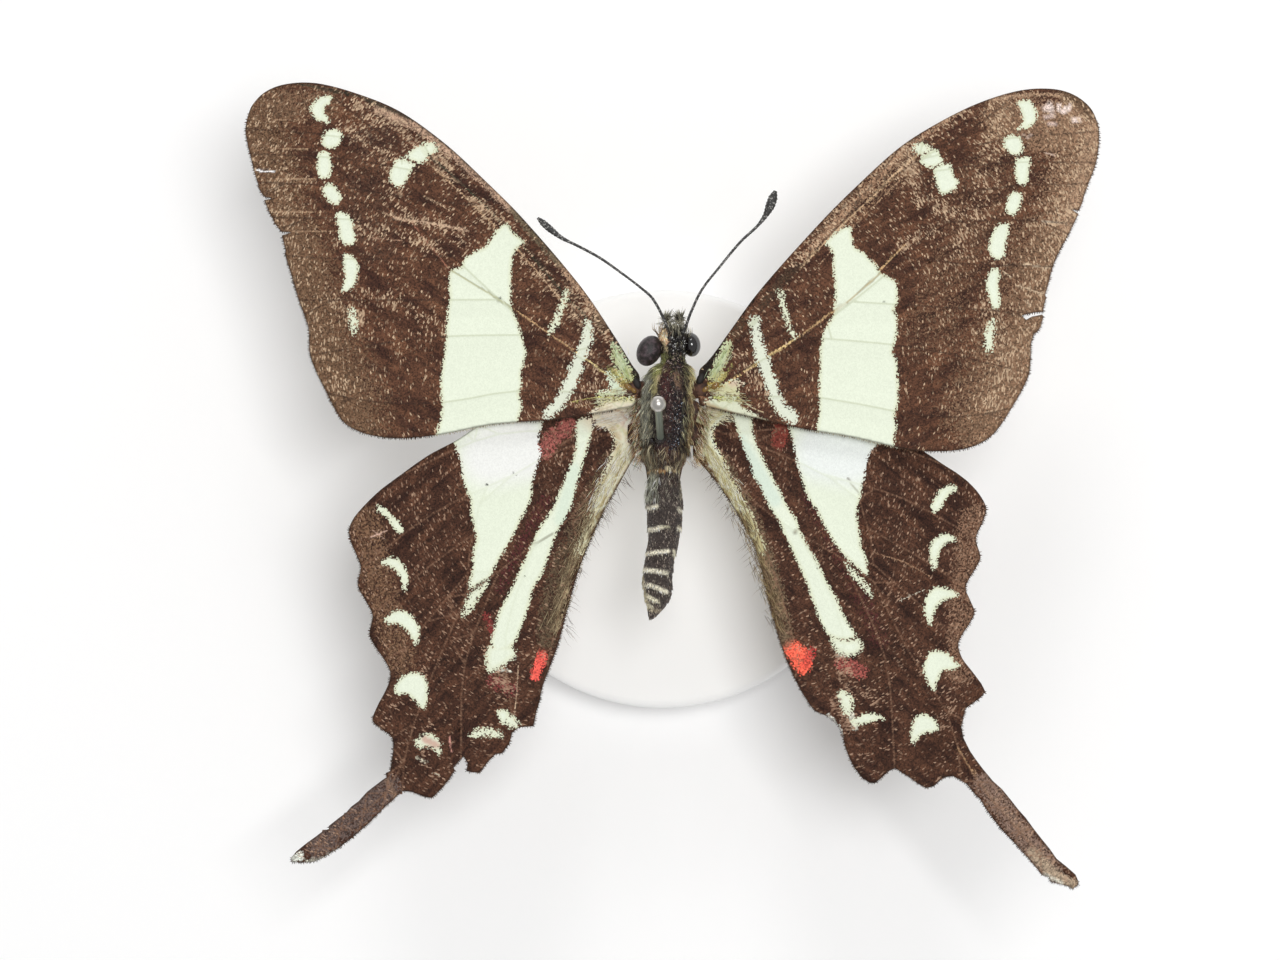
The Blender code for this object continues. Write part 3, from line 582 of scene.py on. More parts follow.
forewingRight = {
    "level": 20.75,
    "root": (2.1, 7.6),
    "pale": (
        (1016, 105, 1022, 101, 1030, 102, 1034, 110, 1036, 117, 1033, 124, 1027, 128, 1016, 131, 1022, 122,
         1020, 112),
        (1003, 140, 1010, 136, 1018, 137, 1022, 145, 1021, 152, 1017, 156, 1010, 155, 1004, 148),
        (1016, 160, 1029, 159, 1028, 172, 1026, 182, 1020, 187, 1016, 182, 1014, 172),
        (1011, 193, 1016, 192, 1021, 196, 1021, 201, 1018, 209, 1014, 215, 1009, 215, 1005, 210, 1005, 203,
         1008, 197),
        (1000, 224, 1007, 224, 1008, 232, 1005, 245, 1003, 257, 997, 260, 992, 258, 988, 250, 990, 238,
         994, 229),
        (990, 270, 998, 270, 998, 285, 999, 300, 998, 309, 992, 308, 988, 297, 985, 285, 987, 275),
        (919, 160, 925, 155, 933, 150, 937, 151, 941, 158, 943, 163, 932, 168, 925, 167),
        (933, 170, 942, 165, 950, 165, 953, 175, 957, 180, 956, 188, 950, 192, 941, 195, 937, 188,
         935, 178),
        (843, 228, 826, 243, 832, 252, 833, 270, 835, 285, 835, 297, 833, 315, 823, 332, 822, 340, 820, 350,
         820, 362, 819, 385, 819, 410, 820, 445, 892, 455, 894, 437, 896, 425, 894, 415, 897, 405, 898, 390,
         897, 375, 896, 360, 892, 352, 895, 340, 897, 325, 896, 315, 893, 310, 896, 305, 897, 295, 896, 283,
         890, 278, 880, 273, 875, 265, 868, 258, 862, 252, 855, 248, 852, 238, 850, 228),
    ),
    "faint": (
        (990, 322, 994, 320, 993, 335, 991, 350, 987, 354, 984, 345, 984, 335, 986, 328),
        (912, 148, 920, 144, 930, 148, 926, 154, 917, 155),
        (778, 291, 783, 293, 784, 300, 788, 315, 792, 328, 796, 336, 793, 338, 788, 328, 783, 312,
         779, 300),
        (750, 318, 759, 318, 760, 330, 762, 341, 767, 352, 770, 364, 774, 376, 779, 390, 785, 404, 797, 415,
         795, 425, 785, 420, 778, 414, 772, 404, 768, 392, 763, 378, 758, 365, 754, 350, 751, 332),
        (726, 342, 731, 343, 730, 352, 726, 364, 720, 376, 714, 383, 708, 381, 713, 366),
        (716, 391, 722, 386, 730, 381, 737, 380, 743, 384, 737, 388, 739, 392, 740, 396, 717, 396),
        (716, 399, 738, 399, 741, 404, 742, 408, 748, 411, 756, 416, 750, 421, 740, 418, 730, 416, 720, 412,
         706, 408, 706, 400),
    ),
    "tints": (
        ((1110, 130, 1090, 220, 1058, 330, 1015, 425), 5.5, "856851", 0.8),
        ((1030, 250, 1000, 340, 965, 410), 3.0, "745944", 0.42),
        ((1085, 118, 1045, 128, 1005, 116), 2.4, "8E7058", 0.7),
        ((1010, 130, 985, 190, 960, 250, 932, 330), 3.0, "6E533F", 0.38),
        ((905, 165, 860, 198, 830, 230), 1.5, "866A52", 0.45),
        ((1094, 130, 1080, 180, 1066, 230), 0.8, "A3856C", 0.5),
        ((1042.6, 222.1, 1068.6, 225.2), 0.06, "DCC9B0", 0.9),
        ((1031.8, 220.6, 1038, 221), 0.05, "D0BCA2", 0.8),
        ((1023.7, 264.5, 1050.2, 269.6), 0.05, "D0BCA2", 0.75),
        ((1002.2, 271.6, 1009.4, 276.7), 0.06, "C9B296", 0.8),
        ((1017.6, 285.9, 1041, 294.1), 0.05, "C9B296", 0.8),
        ((1026.7, 301.2, 1028.8, 307.3), 0.06, "C9B296", 0.8),
        ((1055.3, 208.4, 1058.4, 218.6), 0.06, "C9B296", 0.8),
        ((990, 219.6, 1031, 220.6), 0.06, "3A261C", 0.8), ((990, 265, 1020, 265), 0.06, "3A261C", 0.7),
        ((990, 314, 1020, 314), 0.06, "3A261C", 0.7),
        ((802, 258, 830, 229, 900, 154, 960, 111), 0.34, "A07E64", 0.6),
        ((800, 268, 815, 252, 860, 208, 905, 165, 935, 142), 0.1, "C9A986", 0.8),
        ((815, 270, 840, 240, 880, 200, 900, 180), 0.08, "A8876C", 0.6),
        ((762, 306, 778, 286, 796, 266), 0.5, "4A382A", 0.7),
        ((1064, 97, 1080, 103, 1090, 116), 0.6, "5C4735", 0.75),
        ((990, 101, 1015, 97, 1045, 95, 1062, 97), 0.2, "AA8C72", 0.7),
        ((1045, 109, 1049, 106, 1050, 111), 0.3, "EAD6CC", 0.9),
        ((1058, 106, 1058, 111, 1063, 113, 1067, 111, 1069, 107), 0.22, "EAD6CC", 0.9),
        ((1064, 108, 1063, 112), 0.18, "EAD6CC", 0.85), ((1045, 118, 1052, 117), 0.22, "D4BCB2", 0.8),
        ((1048, 125, 1054, 125), 0.22, "D4BCB2", 0.8), ((1073, 121, 1077, 121), 0.26, "EAD6CC", 0.9),
        ((1024, 136, 1027, 139, 1030, 136), 0.12, "CDB4A4", 0.8),
        ((1045, 154, 1052, 156), 0.1, "CDB4A4", 0.8),
        ((699, 380, 712, 352, 726, 326, 748, 298), 0.6, "1F1712", 1.0),
        ((748, 298, 800, 236, 870, 161, 930, 114, 985, 95), 0.2, "2A2019", 0.9),
        ((735, 335, 742, 322), 0.5, "4E3C2C", 0.6), ((724, 374, 718, 382, 710, 389), 0.28, "B5A868", 0.95),
        ((732, 366, 724, 377, 716, 388), 0.2, "8E8450", 0.8),
        ((794, 340, 775, 352.5, 760, 361, 716, 391), 0.13, "D2B680", 1.0),
        ((905, 245, 850, 300, 794, 340), 0.1, "B5946C", 0.95), ((714, 397.5, 739, 398), 0.14, "BCC078", 1.0),
        ((739, 398, 752, 408, 762, 412), 0.06, "B5A080", 0.8),
        ((742, 396, 760, 398, 775, 404), 0.06, "94785A", 0.7),
        ((735, 389, 741, 387, 752, 380), 0.1, "3E2C1E", 0.9), ((750, 414, 768, 421), 0.2, "CDC2A4", 0.65),
        ((709, 385, 720, 388), 0.3, "94803F", 0.95), ((698, 394, 708, 402), 0.34, "8A6248", 0.85),
    ),
    "paleTints": (
        ((728, 344, 712, 382), 1.3, "C6CFA4", 0.9), ((731, 346, 727, 362, 718, 378), 0.2, "B0A878", 0.8),
        ((714, 376, 707, 386), 0.5, "B8B67C", 0.85), ((717, 393, 728, 389, 738, 392), 0.6, "D0CEA4", 0.95),
        ((731, 384, 742, 383), 0.3, "D6BBA2", 0.8), ((708, 404, 730, 406, 754, 416), 0.8, "D9DCC2", 1.0),
        ((706, 404, 722, 410, 740, 417, 752, 420), 0.22, "B39C74", 0.85),
        ((718, 400, 738, 401), 0.12, "C0C488", 0.8), ((755, 318, 765, 370, 792, 420), 0.9, "DFE4D2", 0.8),
        ((724, 352, 712, 376), 0.1, "9AA86A", 0.7), ((893, 262, 850, 300, 826, 318), 0.1, "B8A982", 0.9),
    ),
    "worn": (
        ((1088, 110, 1060, 240, 1000, 400), 3.4, 0.35), ((800, 262, 830, 225, 900, 150, 960, 112), 1.4, 0.5),
        ((905, 150, 920, 200, 950, 215), 1.1, 0.6), ((1000, 110, 980, 200, 950, 260), 2.0, 0.35),
        ((930, 230, 900, 250), 1.0, 0.5), ((735, 350, 750, 370, 765, 395), 0.9, 0.5),
        ((985, 310, 1010, 350, 990, 400), 1.4, 0.5), ((1022, 226, 1068, 224), 0.2, 0.9),
        ((1022, 264, 1048, 268), 0.2, 0.9),
    ),
    "patches": (
        (1081.8, 201.2, 1077.8, 211.4, 1070.6, 210.4, 1077.2, 214.6, 1076.2, 216.5, 1071.6, 226.7),
        (1047.1, 284.9, 1044.1, 295.1, 1045.1, 298.2, 1043.1, 305.3, 1042, 312.2, 1032.9, 313, 1020.6, 316,
         1025.2, 320.1, 1030.8, 317, 1041, 315, 1042.6, 317, 1041, 321.6, 1040, 326.7, 1035.9, 332.9),
    ),
}
hindwingLeft = {
    "level": 19.65,
    "root": (-1.7, 4.4),
    "pale": (
        (450, 425, 455, 447, 460, 460, 462, 475, 466, 490, 470, 500, 471, 515, 474, 530, 476, 540, 473, 550,
         472, 565, 471, 575, 468, 588, 482, 582, 490, 577, 493, 570, 500, 557, 508, 545, 514, 533, 520, 520,
         527, 508, 531, 497, 532, 485, 535, 470, 540, 455, 538, 440, 540, 412),
        (578, 420, 575, 450, 568, 470, 562, 485, 556, 500, 548, 515, 540, 527, 533, 540, 528, 552, 522, 565,
         515, 580, 508, 595, 500, 610, 495, 625, 491, 642, 494, 651, 505, 650, 514, 643, 520, 630, 527, 610,
         530, 600, 533, 588, 541, 575, 547, 560, 552, 545, 558, 530, 565, 518, 572, 505, 575, 490, 582, 465,
         588, 445, 592, 420),
        (376, 506, 383, 507, 392, 516, 400, 524, 403, 531, 400, 533, 393, 528, 386, 517, 378, 512),
        (380, 563, 390, 557, 399, 561, 406, 571, 408, 580, 404, 592, 401, 582, 396, 571, 388, 566),
        (384, 620, 392, 612, 403, 611, 414, 619, 419, 630, 418, 639, 415, 646, 411, 638, 405, 630, 396, 624,
         387, 624),
        (395, 686, 405, 675, 420, 674, 426, 682, 427, 697, 423, 710, 416, 703, 407, 695, 396, 694),
        (497, 712, 502, 710, 508, 713, 507, 721, 504, 726, 499, 720),
    ),
    "faint": (
        (488, 582, 482, 592, 475, 603, 470, 612, 462, 617, 467, 600, 472, 591),
        (488, 648, 510, 646, 515, 655, 500, 668, 488, 672),
        (415, 742, 424, 735, 435, 737, 440, 743, 438, 755, 433, 750, 426, 747, 418, 748),
        (469, 736, 477, 730, 492, 730, 503, 735, 500, 738, 487, 737, 474, 738),
        (504, 714, 514, 718, 520, 728, 510, 728, 504, 722),
        (588, 404, 640, 402, 642, 440, 636, 460, 622, 480, 607, 506, 597, 525, 585, 550, 574, 556, 583, 532,
         592, 508, 600, 484, 606, 470, 611, 456, 614, 444, 613, 437, 609, 431, 603, 427, 596, 425),
    ),
    "tints": (
        ((365, 520, 380, 590, 400, 660), 1.6, "70543F", 0.6),
        ((544, 450, 552, 438, 568, 426), 0.9, "96564E", 0.75),
        ((545, 500, 520, 545, 500, 590), 0.6, "4E2424", 0.5), ((486, 616, 494, 636), 0.4, "7A3430", 0.7),
        ((492, 682, 510, 690), 0.7, "7A3A38", 0.55),
        ((577, 548, 568, 575, 560, 602, 554, 628), 0.5, "A69474", 0.8),
        ((634, 463, 620, 483, 605, 510, 595, 530, 583, 553, 571, 580), 0.24, "46321F", 0.95),
        ((542, 656, 538, 667, 535, 676), 0.52, "E25C50", 1.0),
        ((612, 460, 586, 508, 562, 558, 550, 600, 546, 642), 1.0, "5A4A38", 0.65),
        ((492, 664, 512, 658), 0.35, "8E8A7C", 0.6), ((371, 537, 386, 531), 0.09, "C9A898", 0.85),
        ((373, 531, 384, 539), 0.07, "B09080", 0.8), ((498, 671, 510, 672), 0.16, "D0CCBC", 0.9),
        ((518, 666, 516, 695, 513, 727), 0.07, "B59A80", 0.8), ((449, 738, 451, 752), 0.16, "C08A7C", 0.8),
        ((416, 758, 424, 763), 0.2, "B5AC98", 0.8), ((434, 774, 438, 776), 0.12, "B5AC98", 0.8),
        ((386, 781, 390, 788, 395, 797), 0.24, "A57E5C", 0.9), ((299, 857, 293, 860), 0.42, "E6E8DC", 0.9),
        ((340, 850, 325, 859, 306, 863), 0.2, "D8D6C4", 0.8),
        ((388, 788, 352, 819, 318, 848), 1.3, "60504A", 0.75), ((530, 545, 549, 535), 0.09, "5A4636", 0.9),
    ),
    "paleTints": (
        ((500, 425, 520, 450, 490, 455), 3.0, "F2F2F0", 0.9), ((424, 740, 436, 746), 0.35, "C99C8C", 0.8),
        ((598, 412, 620, 420, 638, 440, 628, 464), 1.9, "E4DAC0", 1.0),
        ((622, 456, 606, 486, 590, 520, 578, 550), 0.9, "D2CAA6", 1.0),
        ((606, 413, 622, 419, 630, 424), 0.5, "ECE3D6", 0.9),
        ((612, 409, 622, 412, 626, 420, 622, 428), 0.1, "C4A08A", 0.7),
        ((612, 428, 618, 438, 616, 448), 0.3, "B9A67C", 0.7),
        ((618, 426, 628, 434, 636, 436), 0.16, "C6BE84", 0.8),
        ((626, 448, 616, 462, 602, 488), 0.1, "F4EEDC", 0.9),
        ((632, 448, 622, 466, 608, 492, 594, 522), 0.13, "8E7A4C", 0.85),
        ((619, 452, 608, 476, 594, 506, 582, 534), 0.08, "9C8C5E", 0.8),
        ((638, 430, 637, 450, 631, 468), 0.26, "A8743E", 0.85),
        ((634, 460, 622, 480, 607, 506, 590, 538), 0.26, "6A5238", 0.95),
        ((528, 547, 552, 534), 0.08, "6A5644", 0.9), ((468, 594, 480, 584, 493, 576), 0.12, "4A3428", 0.95),
        ((574, 470, 560, 520), 0.6, "D4E4D2", 0.6),
    ),
    "worn": (
        ((420, 500, 440, 620, 420, 700), 3.0, 0.13), ((462, 640, 500, 700), 1.3, 0.2),
        ((488, 652, 508, 690), 0.8, 0.7), ((380, 530, 372, 545), 0.4, 0.6), ((398, 700, 385, 725), 0.6, 0.3),
        ((430, 725, 420, 765, 440, 780), 0.9, 0.35), ((600, 420, 560, 460), 1.2, 0.25),
        ((330, 835, 310, 850), 0.7, 0.4),
    ),
    "patches": (
        (640, 432, 641, 404, 612, 399, 580, 402, 548, 407),
        (385, 774, 386, 778, 383, 780, 375, 786, 366, 793, 358, 802, 350, 808, 345, 814, 338, 819, 328, 827,
         328, 830, 321, 833, 313, 839, 306, 844, 301, 848, 295, 853, 290, 859, 291, 863, 301, 864, 312, 863,
         320, 860, 330, 854, 338, 849, 343, 845, 351, 839, 360, 831, 367, 825, 374, 818, 383, 809, 391, 802,
         396, 797, 399, 793, 404, 792, 412, 793, 424, 798, 431, 799),
        (453, 768, 463, 757, 467, 764, 466, 772, 471, 773, 479, 774, 488, 762, 495, 755, 502, 754, 509, 744,
         512, 733, 519, 728, 533, 727, 536, 712, 540, 700),
    ),
}
hindwingRight = {
    "level": 19.65,
    "root": (1.7, 4.4),
    "pale": (
        (733, 412, 733, 418, 740, 435, 745, 450, 750, 462, 754, 475, 760, 485, 765, 497, 770, 507, 775, 515,
         780, 522, 785, 535, 790, 545, 795, 555, 799, 565, 804, 575, 808, 585, 811, 595, 815, 605, 818, 615,
         825, 630, 832, 637, 845, 640, 856, 637, 853, 630, 848, 622, 842, 611, 838, 600, 833, 592, 828, 583,
         823, 573, 818, 562, 812, 552, 805, 540, 800, 530, 797, 520, 790, 510, 784, 500, 780, 490, 774, 480,
         768, 467, 762, 455, 757, 443, 753, 430, 750, 412),
        (788, 415, 790, 428, 793, 440, 795, 450, 797, 460, 800, 470, 803, 480, 806, 490, 810, 500, 817, 510,
         822, 520, 827, 530, 833, 540, 840, 550, 846, 557, 858, 568, 868, 575, 868, 566, 866, 556, 862, 548,
         861, 540, 860, 530, 858, 520, 858, 510, 860, 500, 862, 490, 864, 480, 866, 470, 868, 460, 872, 450,
         880, 442, 888, 425),
        (931, 507, 936, 498, 941, 490, 948, 485, 955, 486, 958, 489, 950, 494, 945, 502, 940, 510,
         934, 513),
        (957, 540, 952, 535, 945, 534, 938, 537, 932, 543, 930, 552, 931, 562, 934, 570, 937, 569, 938, 560,
         941, 551, 947, 543),
        (959, 595, 952, 590, 945, 588, 935, 588, 928, 595, 925, 605, 925, 613, 929, 623, 932, 625, 934, 615,
         938, 606, 945, 600, 953, 598),
        (929, 654, 936, 651, 943, 652, 950, 655, 955, 661, 960, 666, 956, 669, 950, 670, 943, 672, 939, 679,
         936, 686, 935, 692, 931, 688, 927, 680, 924, 671, 925, 664),
        (918, 716, 925, 715, 933, 718, 937, 723, 939, 730, 936, 732, 929, 733, 923, 735, 917, 741, 914, 746,
         911, 740, 912, 731, 914, 722),
        (852, 722, 858, 718, 866, 714, 874, 714, 880, 716, 885, 720, 877, 721, 869, 723, 861, 725,
         854, 726),
    ),
    "faint": (
        (846, 563, 858, 575, 870, 587, 872, 597, 862, 586, 850, 573),
        (832, 638, 845, 640, 860, 640, 862, 650, 850, 656, 836, 650),
        (840, 692, 851, 696, 853, 703, 851, 714, 847, 716, 842, 705),
        (692, 400, 722, 400, 732, 412, 727, 417, 718, 424, 713, 430, 713, 438, 717, 449, 722, 457, 728, 470,
         734, 482, 742, 497, 752, 515, 760, 535, 766, 552, 757, 554, 745, 530, 730, 502, 715, 478, 702, 456,
         693, 440),
    ),
    "tints": (
        ((975, 520, 965, 600, 962, 670), 1.6, "7E604C", 0.62), ((782, 426, 780, 442), 0.75, "77382E", 0.9),
        ((812, 500, 850, 570, 880, 640), 1.0, "4A2422", 0.4), ((843, 664, 862, 672), 0.75, "985048", 0.75),
        ((752, 530, 762, 556, 772, 585, 782, 615), 0.45, "A68E6C", 0.85),
        ((702, 457, 715, 479, 730, 503, 745, 531, 758, 560, 768, 590), 0.24, "46321F", 0.95),
        ((793, 650, 800, 656, 803, 666), 0.85, "FF6A52", 1.0), ((806, 664, 812, 652), 0.5, "B5403A", 0.6),
        ((722, 462, 746, 508, 765, 552, 778, 600, 786, 640), 0.9, "6A5844", 0.7),
        ((838, 655, 858, 652), 0.3, "A8A494", 0.6),
        ((958, 748, 972, 770, 990, 796, 1020, 830, 1048, 862), 0.1, "A8855F", 0.75),
        ((984, 784, 1005, 811, 1033, 849, 1052, 870), 1.2, "7E675A", 0.75),
        ((1034, 854, 1056, 876, 1075, 886), 0.55, "AA967F", 0.85),
        ((1046, 876, 1062, 884), 0.22, "DAD6C6", 0.8), ((900, 601, 925, 590), 0.06, "C9C0AC", 0.8),
        ((872, 552, 905, 562, 930, 576), 0.07, "8E6E56", 0.7),
        ((841, 697, 850, 712, 856, 728), 0.3, "C9C6B4", 0.85),
        ((828, 716, 838, 724, 843, 735), 0.18, "E6E4D8", 0.85),
    ),
    "paleTints": (
        ((835, 435, 825, 450, 850, 455), 3.0, "EEF2F0", 0.9), ((740, 440, 775, 500), 0.7, "D2E2D4", 0.7),
        ((700, 406, 712, 416, 704, 436, 712, 456), 1.7, "D8D0A2", 1.0),
        ((706, 452, 724, 480, 742, 512, 760, 548), 0.9, "C4BA8C", 1.0),
        ((728, 412, 716, 423, 711, 431, 712, 440, 720, 456), 0.16, "E6ECD6", 0.95),
        ((704, 408, 714, 410, 722, 408), 0.3, "E4D6C0", 0.8),
        ((698, 414, 704, 426, 700, 438), 0.1, "A8B27C", 0.8),
        ((712, 412, 707, 424, 708, 434), 0.08, "9CAC78", 0.8),
        ((703, 440, 714, 460, 726, 484, 740, 508), 0.1, "A0905A", 0.85),
        ((708, 438, 720, 464, 736, 492), 0.07, "EDE8CC", 0.8),
        ((694, 410, 694, 430, 699, 448), 0.2, "8E5E3C", 0.8),
        ((702, 456, 715, 478, 730, 502, 748, 534), 0.26, "6A5238", 0.95),
        ((848, 478, 861, 496), 0.07, "6A5A48", 0.7), ((795, 532, 806, 527), 0.1, "7A6650", 0.9),
    ),
    "worn": (
        ((900, 480, 900, 620, 890, 740), 3.0, 0.14), ((840, 650, 850, 690, 880, 700), 1.0, 0.5),
        ((835, 700, 850, 730), 0.6, 0.7), ((940, 690, 955, 700, 940, 730), 0.8, 0.35),
        ((720, 440, 745, 480), 0.9, 0.25), ((1000, 800, 1040, 850, 1075, 885), 0.5, 0.6),
    ),
    "patches": (
        (694, 432, 693, 404, 722, 399, 752, 402, 780, 407),
        (965, 662, 973, 672, 982, 684, 986, 692, 980, 699, 973, 704, 966, 709, 964, 718, 962, 727, 964, 738,
         971, 752, 978, 762, 984, 770, 994, 782, 1003, 790, 1012, 801, 1019, 810, 1027, 819, 1035, 830,
         1042, 839, 1051, 850, 1058, 860, 1068, 868, 1077, 876, 1080, 883, 1079, 887, 1074, 890, 1068, 887,
         1060, 885, 1052, 883, 1050, 878, 1043, 876, 1036, 867, 1030, 860, 1020, 849, 1012, 840, 1003, 831,
         995, 821, 987, 810, 981, 800, 974, 793, 968, 785, 960, 780, 954, 777, 946, 778, 940, 782, 935, 787,
         927, 789, 918, 784, 910, 778, 902, 773, 896, 769, 889, 772, 882, 779, 876, 784, 871, 784, 863, 779,
         856, 770, 850, 759, 846, 748, 844, 739, 842, 732, 839, 726, 833, 720, 826, 716, 816, 712,
         810, 705),
    ),
}
wings = {
    "forewingLeft": forewingLeft,
    "forewingRight": forewingRight,
    "hindwingLeft": hindwingLeft,
    "hindwingRight": hindwingRight,
}


def readSolidWing(node):
    # the rim of the solid wing and its vein ridges, in millimetres, from its upper face
    bm = bmesh.new()
    bm.from_mesh(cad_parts[node].data)
    bmesh.ops.remove_doubles(bm, verts=bm.verts, dist=1e-3 * mm)
    bm.normal_update()
    walls = [face for face in bm.faces if face.normal.z < 0.5]
    bmesh.ops.delete(bm, geom=walls, context="FACES")
    links = {}
    for edge in bm.edges:
        if edge.is_boundary:
            one, other = edge.verts
            links.setdefault(one, []).append(other)
            links.setdefault(other, []).append(one)
    start = next(iter(links))
    walk = [start, links[start][0]]
    while walk[-1] != start:
        onward = [vert for vert in links[walk[-1]] if vert != walk[-2]]
        walk.append(onward[0])
    rim = np.array([vert.co[:2] for vert in walk[:-1]]) / mm
    crests = [
        edge for edge in bm.edges
        if len(edge.link_faces) == 2 and edge.calc_face_angle_signed() > wing["creaseAngle"]
    ]
    veins = np.array([[vert.co[:] for vert in edge.verts] for edge in crests]) / mm
    bm.free()
    return rim, veins


def sheetHeight(x, y, level):
    droop = np.maximum(0, wing["droopFrom"] - y) * wing["droop"]
    return level + wing["rise"] * np.abs(x) - droop


def patchRim(rim, patches):
    # each patch takes the place of the shorter stretch of rim between its two ends
    for patch in patches:
        line = fromPhoto(patch)
        first = int(np.linalg.norm(rim - line[0], axis=1).argmin())
        last = int(np.linalg.norm(rim - line[-1], axis=1).argmin())
        rim = np.roll(rim, -first, axis=0)
        reach = (last - first) % len(rim)
        pieces = []
        for start, end in zip(line, line[1:]):
            count = max(1, round(np.linalg.norm(end - start) / wing["rimStep"]))
            pieces.append(start + (end - start) * (np.arange(count) / count)[:, None])
        line = np.vstack([*pieces, line[-1:]])
        if reach <= len(rim) / 2:
            rim = np.vstack([line, rim[reach + 1 :]])
        else:
            rim = np.vstack([rim[1:reach], line[::-1]])
    return rim


def wornRim(rim, patches):
    # the solid's rim made smooth, with its torn and notched stretches, anticlockwise from above
    rim = patchRim(smoothLine(rim, wing["rimStep"], closed=True), patches)
    onward = np.roll(rim, -1, axis=0)
    area = (rim[:, 0] * onward[:, 1] - onward[:, 0] * rim[:, 1]).sum()
    return rim if area >= 0 else rim[::-1]


def besideLine(line, gap):
    # the line, and one on each side of it
    across = np.gradient(line, axis=0)[:, ::-1] * (1, -1)
    across *= gap / np.maximum(np.linalg.norm(across, axis=1), 1e-6)[:, None]
    return [line, line + across, line - across]


def guideSpots(shape):
    # points along the edges of the marks and the thin strokes keep both sharp
    spots = []
    for mark in (*shape["pale"], *shape["faint"]):
        outline = smoothLine(fromPhoto(mark), wing["guideStep"], closed=True)
        spots += besideLine(outline, wing["guideApart"])
    for line, width, _, _ in (*shape["tints"], *shape["paleTints"]):
        if width < wing["thinStroke"]:
            spots += besideLine(smoothLine(fromPhoto(line), wing["guideStep"]), width)
    return np.vstack(spots)


def gridSpots(rim):
    # rows of points over the whole wing, every other row half a step along
    step = wing["gridStep"]
    low, high = rim.min(axis=0), rim.max(axis=0)
    columns = np.arange(low[0], high[0], step)
    rows = np.arange(low[1], high[1], step * math.sqrt(0.75))
    gridX, gridY = np.meshgrid(columns, rows)
    gridX[1::2] += step / 2
    return np.column_stack([gridX.ravel(), gridY.ravel()])


def thinOut(spots):
    # one point stays where several crowd together
    cells = np.unique(np.round(spots / wing["crowded"]), axis=0, return_index=True)[1]
    return spots[np.sort(cells)]


def veinSpots(starts, ends, first):
    # points along the veins, the edges that join them, and the feet of the ridges on both sides
    lines = []
    edges = []
    feet = []
    for start, end in zip(starts, ends):
        count = max(1, round(np.linalg.norm(end - start) / wing["gridStep"]))
        line = start + (end - start) * (np.arange(count + 1) / count)[:, None]
        across = np.array([start[1] - end[1], end[0] - start[0]])
        across *= wing["ridgeHalfWidth"] / np.linalg.norm(across)
        edges += [(first + i, first + i + 1) for i in range(count)]
        first += len(line)
        lines.append(line)
        feet += [line + across, line - across]
    return np.vstack(lines), edges, np.vstack(feet)


def drawSheet(rim, starts, ends, shape):
    # a flat sheet of triangles inside the rim, with edges along the veins
    ridge = wing["ridgeHalfWidth"]
    lines, edges, feet = veinSpots(starts, ends, len(rim))
    spots = thinOut(np.vstack([guideSpots(shape), gridSpots(rim)]))
    spots = spots[isInside(spots, rim)]
    spots = spots[distanceToSegments(spots, starts, ends)[0] > ridge + wing["veinClear"]]
    feet = feet[distanceToSegments(feet, starts, ends)[0] > ridge * wing["footClear"]]
    feet = feet[isInside(feet, rim)]
    spots = np.vstack([spots, feet])
    clear = distanceToLine(spots, closeLine(rim)) > wing["rimStep"] * wing["rimClear"]
    points = [Vector(spot) for spot in np.vstack([rim, lines, spots[clear]])]
    made = delaunay_2d_cdt(points, edges, [list(range(len(rim)))], 1, 1e-4)
    bm = bmesh.new()
    verts = [bm.verts.new((*spot, 0.0)) for spot in made[0]]
    for triangle in made[2]:
        bm.faces.new([verts[i] for i in triangle])
    bmesh.ops.delete(bm, geom=[v for v in bm.verts if not v.link_faces], context="VERTS")
    return bm


def wornShare(points, strokes):
    share = np.full(len(points), wing["leastWorn"])
    for line, width, strength in strokes:
        reach = distanceToLine(points, strokePath(line))
        share = np.maximum(share, strength * ramp(reach, width, 0))
    return share


def markWing(mesh, flat, shape, veinGap, rimGap):
    # the grain runs out from the root of the wing, and its marks are depths inside their outlines
    away = flat - np.array(shape["root"])
    radius = np.linalg.norm(away, axis=1)
    angle = np.arctan2(away[:, 1], np.abs(away[:, 0]))
    angle -= np.median(angle)
    grain = np.column_stack([radius, angle * radius, np.zeros(len(flat))])
    crisp = depthInside(flat, shape["pale"], wing["shapeStep"]) / wing["crisp"]
    faint = depthInside(flat, shape["faint"], wing["shapeStep"]) / wing["soft"]
    setAttribute(mesh, "grain", grain, "FLOAT_VECTOR")
    setAttribute(mesh, "pale", np.maximum(crisp, faint))
    setAttribute(mesh, "vein", veinGap)
    setAttribute(mesh, "rim", rimGap)
    setAttribute(mesh, "worn", wornShare(flat, shape["worn"]))
    setAttribute(mesh, "tint", paint(flat, shape["tints"]), "FLOAT_COLOR")
    setAttribute(mesh, "paleTint", paint(flat, shape["paleTints"]), "FLOAT_COLOR")


def thickenWing(piece, share):
    # full thickness along the veins, and the bare membrane between them
    group = piece.vertex_groups.new(name="veins")
    for level in range(1, 11):
        chosen = np.flatnonzero(np.round(share * 10) == level)
        group.add(chosen.tolist(), level / 10, "REPLACE")
    full = wing["membrane"] + 2 * wing["ridge"]
    solidify = piece.modifiers.new("thickness", "SOLIDIFY")
    solidify.thickness = full * mm
    solidify.offset = 0
    solidify.vertex_group = group.name
    solidify.thickness_vertex_group = wing["membrane"] / full
    solidify.material_offset = 1


